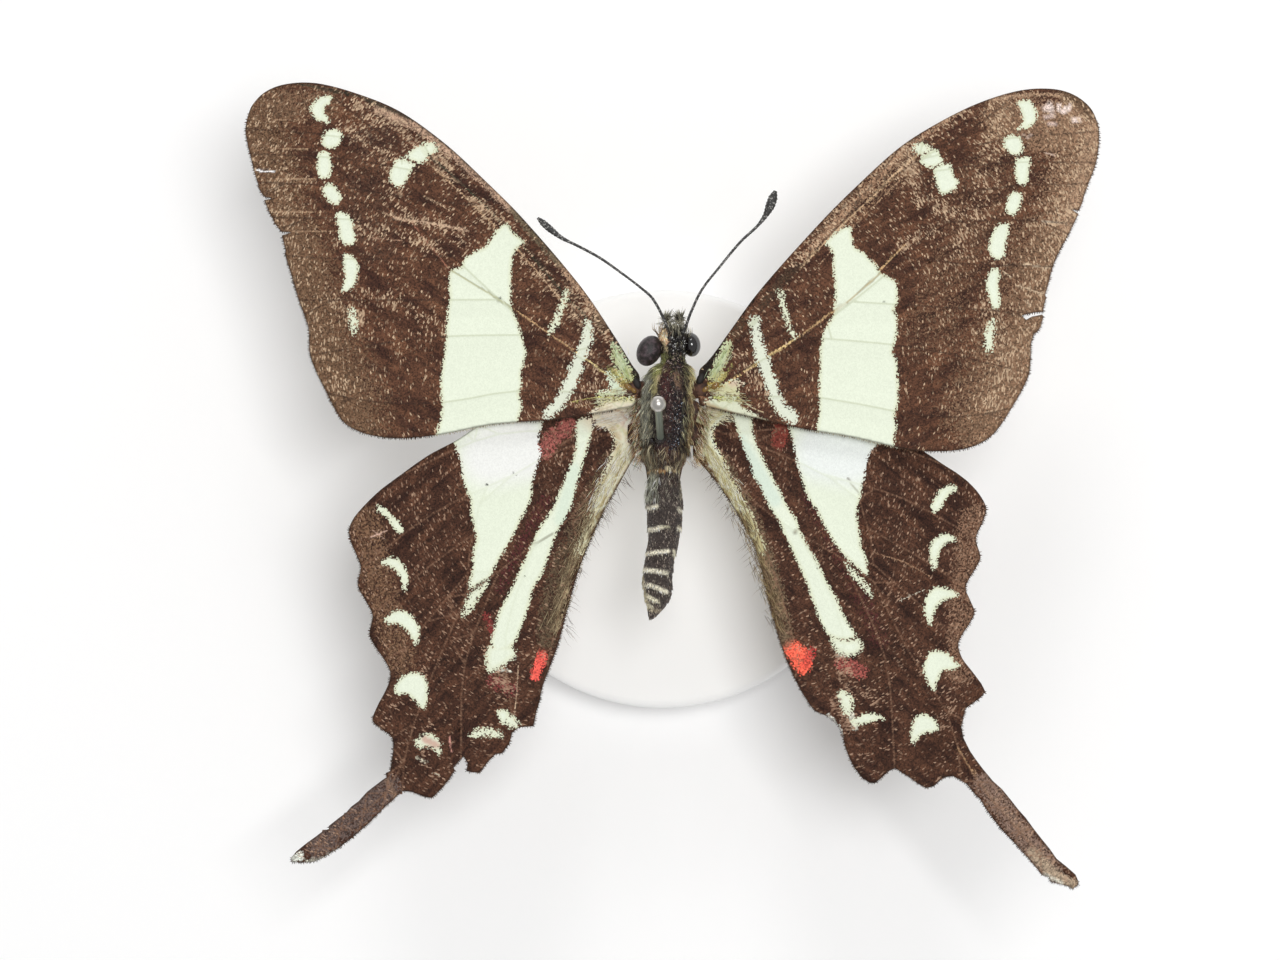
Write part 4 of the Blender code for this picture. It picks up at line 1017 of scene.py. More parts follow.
def makeWing(name, shape, upperScales):
    rim, veins = readSolidWing(nodeOf(name))
    rim = wornRim(rim, shape["patches"])
    starts, ends = veins[:, 0, :2], veins[:, 1, :2]
    heights = veins[:, :, 2] - sheetHeight(veins[:, :, 0], veins[:, :, 1], shape["level"])
    strengths = np.clip((heights - wing["solidHalf"]) / wing["solidRidge"], 0, 1)
    bm = drawSheet(rim, starts, ends, shape)
    flat = np.array([vert.co[:2] for vert in bm.verts])
    veinGap, nearest, along = distanceToSegments(flat, starts, ends)
    strength = strengths[nearest, 0] * (1 - along) + strengths[nearest, 1] * along
    share = strength * np.clip(1 - veinGap / wing["ridgeHalfWidth"], 0, 1)
    rimGap = distanceToLine(flat, closeLine(rim))
    pleat = ramp(veinGap, *wing["pleatFromVein"]) * ramp(rimGap, 0.0, wing["pleatFromRim"])
    levels = sheetHeight(flat[:, 0], flat[:, 1], shape["level"]) - wing["pleat"] * pleat
    for vert, height in zip(bm.verts, levels):
        vert.co.z = height
    bmesh.ops.recalc_face_normals(bm, faces=bm.faces)
    if sum(face.normal.z for face in bm.faces) < 0:
        bmesh.ops.reverse_faces(bm, faces=bm.faces)
    piece = finishPiece(name, bm, (upperScales, underScales), (nodeOf(name),))
    markWing(piece.data, flat, shape, veinGap, rimGap)
    thickenWing(piece, share)
    print(name, len(flat), "points")
    return rim


rims = {}
for wingName, wingForm in wings.items():
    upper = foreScales if "fore" in wingName else hindScales
    rims[wingName] = makeWing(wingName, wingForm, upper)

# Body: one skin over abdomen, thorax, neck and head. Rows are y, x, z, half width, height
# above z and depth below it.
body = {
    "rows": (
        (-8.15, -0.92, 19.15, 0.08, 0.12, 0.12), (-7.80, -0.72, 19.15, 0.34, 0.42, 0.42),
        (-7.10, -0.50, 19.20, 0.72, 0.78, 0.78), (-6.40, -0.42, 19.25, 0.96, 0.96, 0.98),
        (-5.40, -0.45, 19.30, 1.03, 1.06, 1.08), (-4.00, -0.27, 19.40, 1.02, 1.10, 1.12),
        (-2.80, -0.03, 19.50, 1.07, 1.15, 1.17), (-1.60, 0.05, 19.60, 1.18, 1.25, 1.25),
        (-0.40, 0.04, 19.70, 1.25, 1.30, 1.30), (1.00, 0.00, 19.80, 1.17, 1.20, 1.22),
        (2.00, 0.00, 19.87, 1.04, 1.05, 1.10), (2.35, 0.00, 19.90, 1.12, 1.10, 1.20),
        (3.20, 0.03, 20.00, 1.55, 1.70, 1.80), (4.70, 0.12, 20.10, 1.72, 2.10, 2.20),
        (6.60, 0.20, 20.20, 1.78, 2.22, 2.30), (8.20, 0.38, 20.20, 1.62, 1.92, 2.00),
        (9.00, 0.58, 20.20, 1.22, 1.38, 1.50), (9.45, 0.62, 20.20, 0.78, 0.88, 0.95),
        (9.80, 0.62, 20.25, 0.84, 0.94, 1.00), (10.30, 0.62, 20.30, 0.98, 1.10, 1.15),
        (10.80, 0.62, 20.30, 1.05, 1.14, 1.18), (11.30, 0.62, 20.30, 0.90, 0.98, 1.05),
        (11.65, 0.62, 20.30, 0.60, 0.66, 0.75), (11.82, 0.62, 20.30, 0.20, 0.22, 0.30),
    ),
    "ringStep": 0.09,
    "around": 64,
    "tergites": (-8.2, -6.95, -6.0, -4.9, -3.7, -2.1, -0.55, 1.75),
    "overlap": 0.07,
    "scutellumY": 4.2,
    # depth and half width of the grooves on top of the thorax
    "scutellumGroove": (0.13, 0.16),
    "midGroove": (0.05, 0.06),
    "sideGroove": (0.07, 0.08),
    "sideGrooveAt": 0.74,
    "unevenness": 0.05,
    "noseY": 11.82,
    "tailY": -8.15,
}
bodyRows = smoothLine(body["rows"], body["ringStep"])


def bodyAt(y):
    # x and z of the middle, half width, height above the middle and depth below it
    return [np.interp(y, bodyRows[:, 0], bodyRows[:, k]) for k in range(1, 6)]


def bodyRelief(y, angle):
    # how far the plates stand out from the plain rows, in millimetres
    relief = np.zeros(len(y))
    for back, front in zip(body["tergites"], body["tergites"][1:]):
        share = (front - y) / (front - back)
        on = (share >= 0) & (share < 1)
        relief[on] += body["overlap"] * (share[on] ** 2 - 0.5)
    across, upward = np.cos(angle), np.sin(angle)
    onTop = np.clip(upward * 2, 0, 1)
    onScutum = ramp(y, 4.4, 4.9) * ramp(y, 8.9, 8.3) * onTop
    scutellumEdge = body["scutellumY"] - 0.5 * np.abs(across)
    for (depth, width), gap, share in (
        (body["scutellumGroove"], y - scutellumEdge, onTop),
        (body["midGroove"], across, onScutum),
        (body["sideGroove"], np.abs(across) - body["sideGrooveAt"], onScutum),
    ):
        relief -= depth * share * np.exp(-((gap / width) ** 2))
    uneven = np.sin(2.9 * y + 4.0 * angle) * np.sin(5.3 * y - 3.0 * angle + 1.0)
    relief += body["unevenness"] * uneven * ramp(y, 2.2, 3.4)
    return relief


def bodySurface(y, angle):
    x, z, half, height, depth = bodyAt(y)
    relief = bodyRelief(y, angle) * np.clip(half / 0.8, 0, 1)
    rise = np.where(np.sin(angle) > 0, height, depth)
    across = (half + relief) * np.cos(angle)
    return np.stack([x + across, y, z + (rise + relief) * np.sin(angle)], axis=1)


def bodyNormal(y, angle):
    along = bodySurface(y + 0.06, angle) - bodySurface(y - 0.06, angle)
    around = bodySurface(y, angle + 0.04) - bodySurface(y, angle - 0.04)
    return unit(np.cross(along, around))


# Markings of skin and hair alike, over the dark ground: line in pixels, half width in mm,
# colour and strength.
bodyStrokes = (
    ((662, 475, 665, 500, 662, 540, 656, 580, 651, 616), 1.9, "413834", 1.0),
    ((652, 468, 651, 482, 647, 495), 0.55, "8C8C7C", 0.9),
    ((672, 468, 674, 480), 0.6, "33231F", 0.8),
    ((640, 466, 652, 470, 664, 471), 0.14, "B58A5A", 0.7),
    ((667, 468, 679, 470), 0.2, "F0E2BC", 0.95),
    ((681, 470, 682, 495), 0.22, "7C7460", 0.7),
    ((646, 508, 650, 508, 657, 506), 0.2, "F8F0D8", 0.9),
    ((679, 509, 684, 511), 0.2, "F8F0D8", 0.9),
    ((647, 530, 655, 529, 662, 527), 0.19, "F8F0D8", 0.95),
    ((662, 527, 669, 527), 0.13, "E4DCBC", 0.6),
    ((679, 528, 683, 532), 0.2, "F0E8CC", 0.9),
    ((647, 554, 657, 552, 668, 551), 0.2, "F8F0D8", 0.95),
    ((674, 551, 676, 557), 0.17, "F0E8CC", 0.9),
    ((642, 570, 655, 571, 667, 573), 0.22, "F8F0D8", 1.0),
    ((642, 584, 652, 586, 667, 592), 0.21, "F8F0D8", 1.0),
    ((645, 595, 652, 599, 659, 602), 0.19, "F0E8CC", 0.95),
    ((643, 600, 648, 605, 652, 608), 0.17, "F0E8CC", 0.85),
    ((652, 610, 661, 611), 0.13, "B7A88C", 0.8),
    ((641, 574, 643, 590, 648, 608), 0.2, "B5AA88", 0.6),
    ((648, 372, 645, 405, 647, 434), 0.55, "86867A", 0.9),
    ((658, 373, 654, 392), 0.26, "AFA676", 0.9),
    ((653, 379, 648, 400), 0.12, "241C18", 0.8),
    ((659, 375, 658, 380), 0.12, "D2BE98", 0.9),
    ((666, 368, 665, 398), 0.5, "4A2826", 0.95),
    ((676, 374, 679, 392), 0.34, "7A604C", 0.8),
    ((678, 396, 681, 431, 676, 444), 0.75, "1E171B", 0.9),
    ((670, 400, 668, 430), 0.35, "3E2826", 0.8),
    ((652, 416, 655, 446), 0.36, "211917", 0.85),
    ((689, 362, 694, 379, 692, 393), 0.42, "D0C08E", 0.95),
    ((692, 399, 693, 418, 689, 438), 0.32, "8A7454", 0.85),
    ((661, 446, 681, 458), 0.6, "40292A", 0.8),
    ((647, 450, 655, 470), 0.36, "6E6450", 0.85),
    ((637, 398, 637, 430, 639, 458), 0.28, "7E4A32", 0.85),
    ((690, 448, 688, 466), 0.22, "A87A4C", 0.8),
    ((672, 350, 680, 366), 0.7, "1B1513", 0.95),
    ((664, 356, 658, 372), 0.32, "989A60", 0.9),
    ((652, 364, 650, 370), 0.26, "7E8058", 0.8),
    ((660, 331, 663, 336, 666, 341), 0.34, "E8BE98", 1.0),
    ((664, 343, 667, 350), 0.16, "CDBB92", 0.9),
    ((673, 331, 686, 352), 0.75, "15110F", 0.95),
    ((664, 321, 678, 327), 0.5, "605C4C", 0.8),
)
bodyTones = {
    "dark": "1E1714",
    "light": "453931",
    "hair": "3A2F27",
    "under": "B9AD8C",
    "underDark": "6B5D48",
}


def bodyColour(points, upward):
    # hair takes the skin's colour at its root
    ink = paint(points[:, :2], bodyStrokes)
    isTinted = ink[:, 3:] > spread(0.1, 0.9, (len(points), 1))
    colour = np.where(isTinted, ink[:, :3], np.array(srgb(bodyTones["hair"])[:3]))
    below = ramp(upward, -0.05, -0.45)[:, None]
    return colour * (1 - below) + np.array(srgb(bodyTones["under"])[:3]) * below


# Scaled chitin: insect cuticle, grown in plates and covered in short scales. It is dark and dull,
# and shines where they are rubbed off.
cuticleLook = {
    "cloudsPerMm": 1.6,
    "scalesPerMm": 11,
    "scaleShades": (0.6, 1.35),
    "scaleRelief": 0.05,
    "wrinkleRelief": 0.35,
    "roughness": (0.2, 0.5),
    "gloss": 0.3,
}


def makeCuticle():
    tone = bodyTones
    material, tree, shader = newMaterial("scaled chitin", {"Specular IOR Level": cuticleLook["gloss"]})
    place = addNode(tree, "TexCoord")["Object"]
    clouds = cuticleLook["cloudsPerMm"] / mm
    cloud = addNode(
        tree, "TexNoise", {"Vector": place, "Scale": clouds, "Detail": 6.0, "Roughness": 0.65}
    )["Fac"]
    perMetre = cuticleLook["scalesPerMm"] / mm
    scales = addNode(tree, "TexVoronoi", {"Vector": place, "Scale": perMetre})
    chance = addNode(tree, "SeparateColor", {0: scales["Color"]})
    ground = blendTones(tree, cloud, 0.35, 0.68, tone["dark"], tone["light"])
    ground = tintScales(tree, ground, chance[1])
    under = blendTones(tree, cloud, 0.35, 0.68, tone["under"], tone["underDark"])
    below = addNode(tree, "Attribute", attribute_name="below")["Fac"]
    ground = addNode(tree, "Mix", {0: below, 6: ground, 7: under}, data_type="RGBA")[2]
    colour = shadeScales(tree, ground, chance[0], cuticleLook["scaleShades"])
    smooth, rough = cuticleLook["roughness"]
    gloss = addNode(tree, "MapRange", {0: cloud, 1: 0.4, 2: 0.6, 3: smooth, 4: rough})[0]
    depth = cuticleLook["scaleRelief"] * mm
    grain = addNode(tree, "Bump", {"Height": scales["Distance"], "Strength": 0.8, "Distance": depth})[0]
    depth = cuticleLook["wrinkleRelief"] * mm
    relief = addNode(tree, "Bump", {"Height": cloud, "Strength": 0.9, "Distance": depth, "Normal": grain})[0]
    fillSockets(tree, shader, {"Base Color": colour, "Roughness": gloss, "Normal": relief})
    return material


def makeBody():
    bm = bmesh.new()
    y = bodyRows[:, 0]
    blank = np.zeros(len(y))
    centres = np.stack([bodyRows[:, 1], y, bodyRows[:, 2]], axis=1)
    across = np.stack([bodyRows[:, 3], blank, blank], axis=1)
    upward = np.stack([blank, blank, bodyRows[:, 4]], axis=1)
    downward = np.stack([blank, blank, -bodyRows[:, 5]], axis=1)
    loft(bm, centres, across, upward, body["around"], downward)
    spots = np.array([vert.co[:] for vert in bm.verts])
    x, z, half, height, depth = bodyAt(spots[:, 1])
    rise = spots[:, 2] - z
    angle = np.arctan2(rise / np.where(rise > 0, height, depth), (spots[:, 0] - x) / half)
    inner = (spots[:, 1] > y[0] + 1e-4) & (spots[:, 1] < y[-1] - 1e-4)
    for vert, place, isInner in zip(bm.verts, bodySurface(spots[:, 1], angle), inner):
        if isInner:
            vert.co = place
    replaced = ("thorax", "abdomen", "head")
    skin = finishPiece("bodySkin", bm, (cuticle,), replaced)
    setAttribute(skin.data, "tint", paint(spots[:, :2], bodyStrokes), "FLOAT_COLOR")
    setAttribute(skin.data, "below", ramp(np.sin(angle), -0.05, -0.45))


cuticle = makeCuticle()
makeBody()
print("body skin done")

# Hair. A tuft is a bristle or a narrow scale: three-sided, tapered, and bent once from its root
# into the lie of the coat.
tuft = {
    "sunk": 0.04,
    "lengths": (0.55, 0.45),
    "bendWidth": 0.72,
    "settle": 0.15,
    "faces": ((0, 1, 4, 3), (1, 2, 5, 4), (2, 0, 3, 5), (3, 4, 6), (4, 5, 6), (5, 3, 6), (2, 1, 0)),
    # painted shade: the root corners at 0.62, the bend at 1.0 and the tip lighter at 1.2
    "shades": (0.62, 0.62, 0.62, 1.0, 1.0, 1.0, 1.2),
    "patch": ((0, 0), (0.5, 0), (1, 0), (0, 0.6), (0.5, 0.6), (1, 0.6), (0.5, 1)),
}
bakePatch = 0.003


def newTonedMaterial(name, values):
    # each small thing carries a colour of its own
    material, tree, shader = newMaterial(name, values)
    tone = addNode(tree, "Attribute", attribute_name="tone")["Color"]
    fillSockets(tree, shader, {"Base Color": tone})
    return material


def placeMany(name, spots, faces, tones, places, patch, material):
    # Many small things of one kind as one mesh. In the map that their colours are baked to, each
    # has a patch of its own at its root's place on the unwrapped skin.
    count, corners = spots.shape[:2]
    joined = []
    for first in range(0, count * corners, corners):
        joined += [[first + corner for corner in face] for face in faces]
    mesh = bpy.data.meshes.new(name)
    mesh.from_pydata((spots.reshape(-1, 3) * mm).tolist(), [], joined)
    mesh.shade_smooth()
    tones = np.concatenate([tones, np.ones((count, corners, 1))], axis=2)
    setAttribute(mesh, "tone", tones, "FLOAT_COLOR")
    unwrapped = (places[:, None, :] + np.array(patch) * bakePatch).reshape(-1, 2)
    used = np.empty(len(mesh.loops), np.int32)
    mesh.loops.foreach_get("vertex_index", used)
    bakeMap = mesh.uv_layers.new(name="OFBake")
    bakeMap.data.foreach_set("uv", unwrapped[used].astype(np.float32).ravel())
    mesh.materials.append(material)
    placePiece(name, mesh)
    print(name, count, "small things")


def bodySpots(count, ySpan, turns):
    # random roots on the body, with their normals and places on the unwrapped skin
    y = spread(*ySpan, count)
    angle = np.radians(spread(*turns, count))
    return y, angle, bodySurface(y, angle), bodyNormal(y, angle), bodyPlaces(y, angle)


def bodyPlaces(y, angle):
    length = body["noseY"] - body["tailY"]
    places = np.stack([(angle / (2 * math.pi)) % 1, (y - body["tailY"]) / length], axis=1)
    return places * 0.99 + 0.002


def growTufts(name, parts):
    # each part holds arrays of roots, normals, lies, lengths, half widths, lifts, colours and
    # places on the unwrapped skin
    joined = [np.concatenate(column) for column in zip(*parts)]
    roots, normals, lies, lengths, widths, lifts, colours, places = joined
    heading = unit(lies + normals * lifts[:, None])
    settled = unit(lies + normals * (lifts * tuft["settle"])[:, None])
    base = roots - normals * tuft["sunk"]
    bend = base + heading * lengths[:, None] * tuft["lengths"][0]
    tip = bend + settled * lengths[:, None] * tuft["lengths"][1]
    side = unit(np.cross(heading, normals + 1e-3))
    other = np.cross(heading, side)
    rings = []
    for middle, share in ((base, 1.0), (bend, tuft["bendWidth"])):
        for turn in np.radians((90, 210, 330)):
            corner = side * math.cos(turn) + other * math.sin(turn)
            rings.append(middle + corner * (widths * share)[:, None])
    spots = np.stack([*rings, tip], axis=1)
    # each tuft's colour is painted darker toward its root as painted shade
    tones = np.clip(colours[:, None, :] * np.array(tuft["shades"])[:, None], 0, 1)
    placeMany(name, spots, tuft["faces"], tones, places, tuft["patch"], hairMaterial)


# Chitin hair: dry bristles grown from the cuticle, a little glossy. Their colours are painted
# darker at the root, as painted shade deep in the coat, and lighter at the tip. They are drawn
# a few times as thick as real ones, and fewer, so that each shows.
hairMaterial = newTonedMaterial("chitin hair", {"Roughness": 0.38, "Specular IOR Level": 0.35})

# Each patch of hair: tufts, range along y, range round the body (0 right, 90 top), length,
# half width, lift, colours, share of those colours, and where the hair points.
coat = {
    "thoraxLeft": (1500, (2.4, 9.3), (116, 215), (0.3, 0.75), 0.018, 0.32,
        ("7C7966", "B5B196", "2A251E", "CDC2A0", "1E1814"), 0.3, (-0.2, -1, 0)),
    "thoraxRight": (1500, (2.4, 9.3), (-35, 58), (0.3, 0.75), 0.018, 0.32,
        ("7C7966", "B5B288", "2A251E", "A08C64", "1E1814"), 0.3, (0.2, -1, 0)),
    "tuftsLeft": (90, (2.6, 9.2), (120, 180), (0.5, 1.0), 0.04, 0.4,
        ("C4C1A8", "8E8B6C", "DDD2B0"), 0.4, (-0.3, -1, 0)),
    "tuftsRight": (90, (2.6, 9.2), (0, 55), (0.5, 1.0), 0.04, 0.4,
        ("C4C196", "96885C", "DDD2A6"), 0.4, (0.3, -1, 0)),
    "thoraxTop": (420, (2.6, 9.2), (62, 116), (0.2, 0.5), 0.014, 0.5,
        ("241A18", "3A2C26", "9A8C7C", "1E1614", "D4CCBE"), 0.5, (0, -1, 0)),
    "thoraxRear": (520, (2.2, 3.9), (0, 180), (0.5, 1.1), 0.017, 0.32,
        ("5A5040", "2A211C", "9A8E74", "1E1714", "7E6446"), 0.55, (0, -1, 0)),
    "rearTufts": (40, (2.3, 3.7), (20, 160), (0.6, 1.1), 0.03, 0.4,
        ("A89C7E", "C4B896", "5A4A36"), 0.7, (0, -1, 0)),
    "jointTufts": (300, (2.2, 6.6), (165, 200), (0.35, 0.8), 0.02, 0.5,
        ("7E5A42", "4E3428", "C4A078", "33241C", "6A3E30"), 0.8, (-0.4, -0.9, 0)),
    "jointTuftsRight": (300, (2.2, 6.6), (-20, 15), (0.35, 0.8), 0.02, 0.5,
        ("8E6A50", "4E3428", "D0AE88", "33241C", "6A3E30"), 0.8, (0.4, -0.9, 0)),
    "collar": (480, (8.4, 10.0), (0, 180), (0.3, 0.7), 0.02, 0.45,
        ("4E4A3A", "B0AE7C", "1E1814", "8A805E"), 0.4, (0, -1, 0)),
    "abdomenBase": (420, (0.2, 1.9), (10, 170), (0.3, 0.6), 0.016, 0.25,
        ("7C7A68", "3A2C26", "C4BFAA", "241C1A"), 0.35, (0, -1, 0)),
    "greyTuft": (190, (0.2, 1.7), (108, 170), (0.5, 1.0), 0.018, 0.35,
        ("A3A596", "D6D5C6", "7C7E6E", "3A342E"), 0.85, (0.12, -1, 0)),
    "waist": (120, (2.0, 2.25), (15, 165), (0.2, 0.45), 0.022, 0.5,
        ("C9A878", "F0E2BC", "8E6A42", "3A2C22"), 0.75, (0, -1, 0)),
    "abdomenScales": (5600, (-8.0, 1.8), (0, 360), (0.16, 0.34), 0.032, 0.28,
        ("3A312E", "5E534E", "948879", "2A2320", "C4B9A8"), 0.34, (0, -1, 0)),
    "headTop": (260, (9.8, 11.4), (5, 175), (0.2, 0.45), 0.018, 1.0,
        ("2A241E", "5E5846", "1A1614", "B5AE92"), 0.45, (0, -0.5, 0)),
    "headFront": (170, (10.9, 11.8), (-10, 190), (0.6, 1.25), 0.026, 0.8,
        ("7E7A68", "3A362E", "B5AF98", "2A2622"), 0.75, (-0.05, 1, 0.35)),
    "cheek": (300, (10.7, 11.5), (112, 152), (0.18, 0.34), 0.03, 0.5,
        ("F6D0A8", "EABE96", "D4A67C"), 0.95, (-0.3, 0.5, 0)),
    "under": (2400, (2.4, 11.4), (215, 325), (0.4, 0.8), 0.022, 0.3,
        ("C4B896", "A89A78", "DED4B4", "8A7C60"), 0.8, (0, -1, 0)),
}
coatLie = {"stray": 0.2, "swirl": 0.35, "brightness": 1.6, "locks": 1.9}


def growCoat():
    parts = []
    for count, ySpan, turns, lengths, width, lift, shades, share, heading in coat.values():
        y, angle, roots, normals, places = bodySpots(count, ySpan, turns)
        swing = rng.normal(0, coatLie["stray"], (count, 3))
        swirl = np.sin(3.1 * y + 2.0 * angle) * np.sin(1.7 * y - 5.0 * angle)
        swing[:, 0] += coatLie["swirl"] * swirl
        lies = np.array(heading, float) + swing
        lies = unit(lies - normals * (lies * normals).sum(axis=1)[:, None])
        colours = bodyColour(roots, np.sin(angle)) * (1 - share)
        colours += pick(shades, count) * share
        lock = np.sin(5.1 * y + 6.0 * angle) * np.sin(3.7 * y - 9.0 * angle + 1.0)
        shine = coatLie["brightness"] * coatLie["locks"] ** lock * spread(0.7, 1.45, count)
        widths = width * spread(0.7, 1.2, count)
        lifts = lift * spread(0.5, 1.5, count)
        parts.append((roots, normals, lies, spread(*lengths, count), widths, lifts,
                      colours * shine[:, None], places))
    growTufts("bodyHair", parts)


growCoat()

# Wing roots: brown leathery joints between thorax and wings, with small glossy shields and dark
# knobs in front. Rods are three points, half width and half height; the balls are centre, radii
# and turn.
joints = {
    "rods": (
        ((-1.35, 7.45, 20.35), (-1.9, 7.5, 20.62), (-2.5, 7.5, 20.80), 0.62, 0.30),
        ((-1.35, 4.55, 19.85), (-1.9, 4.5, 19.80), (-2.45, 4.5, 19.72), 0.85, 0.24),
        ((1.6, 7.5, 20.35), (2.2, 7.5, 20.62), (2.9, 7.45, 20.82), 0.65, 0.30),
        ((1.5, 4.55, 19.85), (2.1, 4.5, 19.80), (2.7, 4.5, 19.72), 0.85, 0.24),
        ((-1.45, 6.1, 20.3), (-1.7, 6.0, 20.4), (-2.0, 5.9, 20.45), 0.8, 0.28),
        ((1.65, 6.1, 20.3), (1.95, 6.0, 20.4), (2.3, 5.9, 20.45), 0.8, 0.28),
    ),
    "shields": (
        ((-2.42, 7.66, 20.98), (0.32, 0.19, 0.14), -35),
        ((3.48, 7.76, 21.02), (0.32, 0.19, 0.14), 35),
        ((-2.05, 7.42, 21.0), (0.22, 0.15, 0.12), -50),
        ((2.80, 7.50, 21.0), (0.24, 0.16, 0.12), 40),
    ),
    "knobs": (
        ((-1.83, 7.90, 20.88), (0.25, 0.40, 0.20), 25),
        ((2.47, 8.22, 20.88), (0.24, 0.40, 0.20), -25),
    ),
}


def makeJointLeather():
    # Bare chitin joint: soft cuticle that has dried like leather, brown in patches and dull.
    leather, tree, shader = newMaterial("bare chitin joint", {"Roughness": 0.62, "Specular IOR Level": 0.25})
    place = addNode(tree, "TexCoord")["Object"]
    cloud = addNode(tree, "TexNoise", {"Vector": place, "Scale": 2.2 / mm, "Detail": 4.0})["Fac"]
    colour = blendTones(tree, cloud, 0.38, 0.62, "2C1C15", "5C4032")
    fillSockets(tree, shader, {"Base Color": colour})
    return leather


def makeJoints():
    # Amber chitin: hard thin cuticle with a natural polish, golden with sharp glints.
    golden = newMaterial("amber chitin", {"Base Color": srgb("7E6030"), "Roughness": 0.1})[0]
    # Black chitin: thick cuticle with fine hairs worn off it, dark and dull.
    black = newMaterial("black chitin", {"Base Color": srgb("1A1411"), "Roughness": 0.7})[0]
    bm = bmesh.new()
    for start, middle, end, width, height in joints["rods"]:
        radii = ((0.0, width), (0.6, width * 0.95), (1.0, width * 0.75))
        loftAlong(bm, (start, middle, end), radii, 24, 0.12, flat=height / width)
    for index, shapes in ((1, joints["shields"]), (2, joints["knobs"])):
        before = set(bm.faces)
        for centre, radii, turn in shapes:
            addBall(bm, centre, radii, 24, 16, turn)
        for face in set(bm.faces) - before:
            face.material_index = index
    finishPiece("wingJoints", bm, (makeJointLeather(), golden, black))


makeJoints()

# Hair at the wings: pale tufts that grow out over the roots, and a few along the inner margins.
wingHair = {
    # tufts, line of the roots in pixels, spread about it in mm, height, length, heading, shades
    "foreLeft": (110, (632, 388, 612, 398, 598, 404), 0.42, 20.88, (0.35, 0.8), (-1, -0.2),
        ("E0DABA", "C9C08E", "D8DCB4", "A08A5C")),
    "foreRight": (110, (708, 388, 728, 396, 744, 402), 0.42, 20.88, (0.35, 0.8), (1, -0.2),
        ("E0DABA", "C9C08E", "D8DCB4", "A08A5C")),
    "greenLeft": (60, (629, 380, 622, 364, 616, 350), 0.3, 20.88, (0.4, 0.8), (-0.45, 1),
        ("B9CBA4", "CDD8B4", "A3AE7C", "D8D8B0")),
    "greenRight": (60, (711, 379, 720, 364, 727, 351), 0.3, 20.88, (0.4, 0.8), (0.5, 1),
        ("B9CBA4", "CDD8B4", "A3AE7C", "D8D8B0")),
    "hindLeft": (260, (634, 440, 624, 452, 608, 478, 594, 505), 0.5, 19.84, (0.4, 0.9), (-0.5, -1),
        ("F4EEDA", "E0D8B4", "B5A67C", "FBF6E8")),
    "hindRight": (260, (700, 440, 710, 452, 726, 478, 740, 505), 0.5, 19.84, (0.4, 0.9), (0.5, -1),
        ("EFE8CC", "DDD4A6", "A89A66", "F4EED0")),
    "innerLeft": (360, (596, 505, 580, 540, 564, 590, 554, 625), 0.6, 19.84, (0.5, 1.1), (-0.42, -1),
        ("B5A582", "8E7A5E", "6A563E", "4E3C2C")),
    "innerRight": (360, (738, 505, 752, 540, 768, 590, 778, 622), 0.5, 19.84, (0.5, 1.1), (0.42, -1),
        ("A8956E", "86704F", "6A563E", "4E3C2C")),
    "creamLeft": (110, (634, 412, 620, 416, 600, 420), 0.36, 20.2, (0.3, 0.6), (-1, -0.3),
        ("FAF4E6", "EEE6D0", "DCC8B4")),
    "creamRight": (110, (700, 416, 712, 414, 728, 418), 0.36, 20.2, (0.3, 0.6), (1, -0.3),
        ("F4ECD0", "E4DAB0", "E6DFC0")),
    "jointLeft": (520, (637, 394, 636, 430, 640, 462), 0.3, 20.62, (0.3, 0.6), (-0.5, -0.8),
        ("7E6244", "4E3828", "C4A67C", "7A8468", "6A4034", "E6D8C0")),
    "jointRight": (560, (702, 392, 703, 430, 695, 462), 0.3, 20.62, (0.3, 0.6), (0.5, -0.8),
        ("94744E", "5A3E2A", "D6BC94", "8A8A66", "6A4034", "F0DCC4")),
}
marginHair = {
    # tufts, line of the roots in pixels, heading
    "left": (70, (632, 464, 620, 483, 607, 506, 597, 526, 585, 549, 572, 576, 566, 600, 566, 625, 561, 645),
        (0.55, -0.85)),
    "right": (70, (703, 458, 716, 480, 731, 504, 746, 532, 758, 560, 768, 590, 778, 615, 785, 640),
        (-0.55, -0.85)),
    "length": (0.5, 1.35),
    "width": 0.013,
    "shades": ("5E4634", "4A3628", "7E664C"),
}


def spotsAlong(line, count, scatter):
    # random spots along a line given in pixels, in millimetres
    path = fromPhoto(line)
    reached = reachAlong(path)
    share = spread(0, reached[-1], count)
    spots = np.stack([np.interp(share, reached, path[:, k]) for k in (0, 1)], axis=1)
    return spots + rng.normal(0, scatter * 0.6, (count, 2))


def wingPlaces(spots):
    # the unwrapped wings fill a square of 62 mm
    return spots / 62 + 0.5


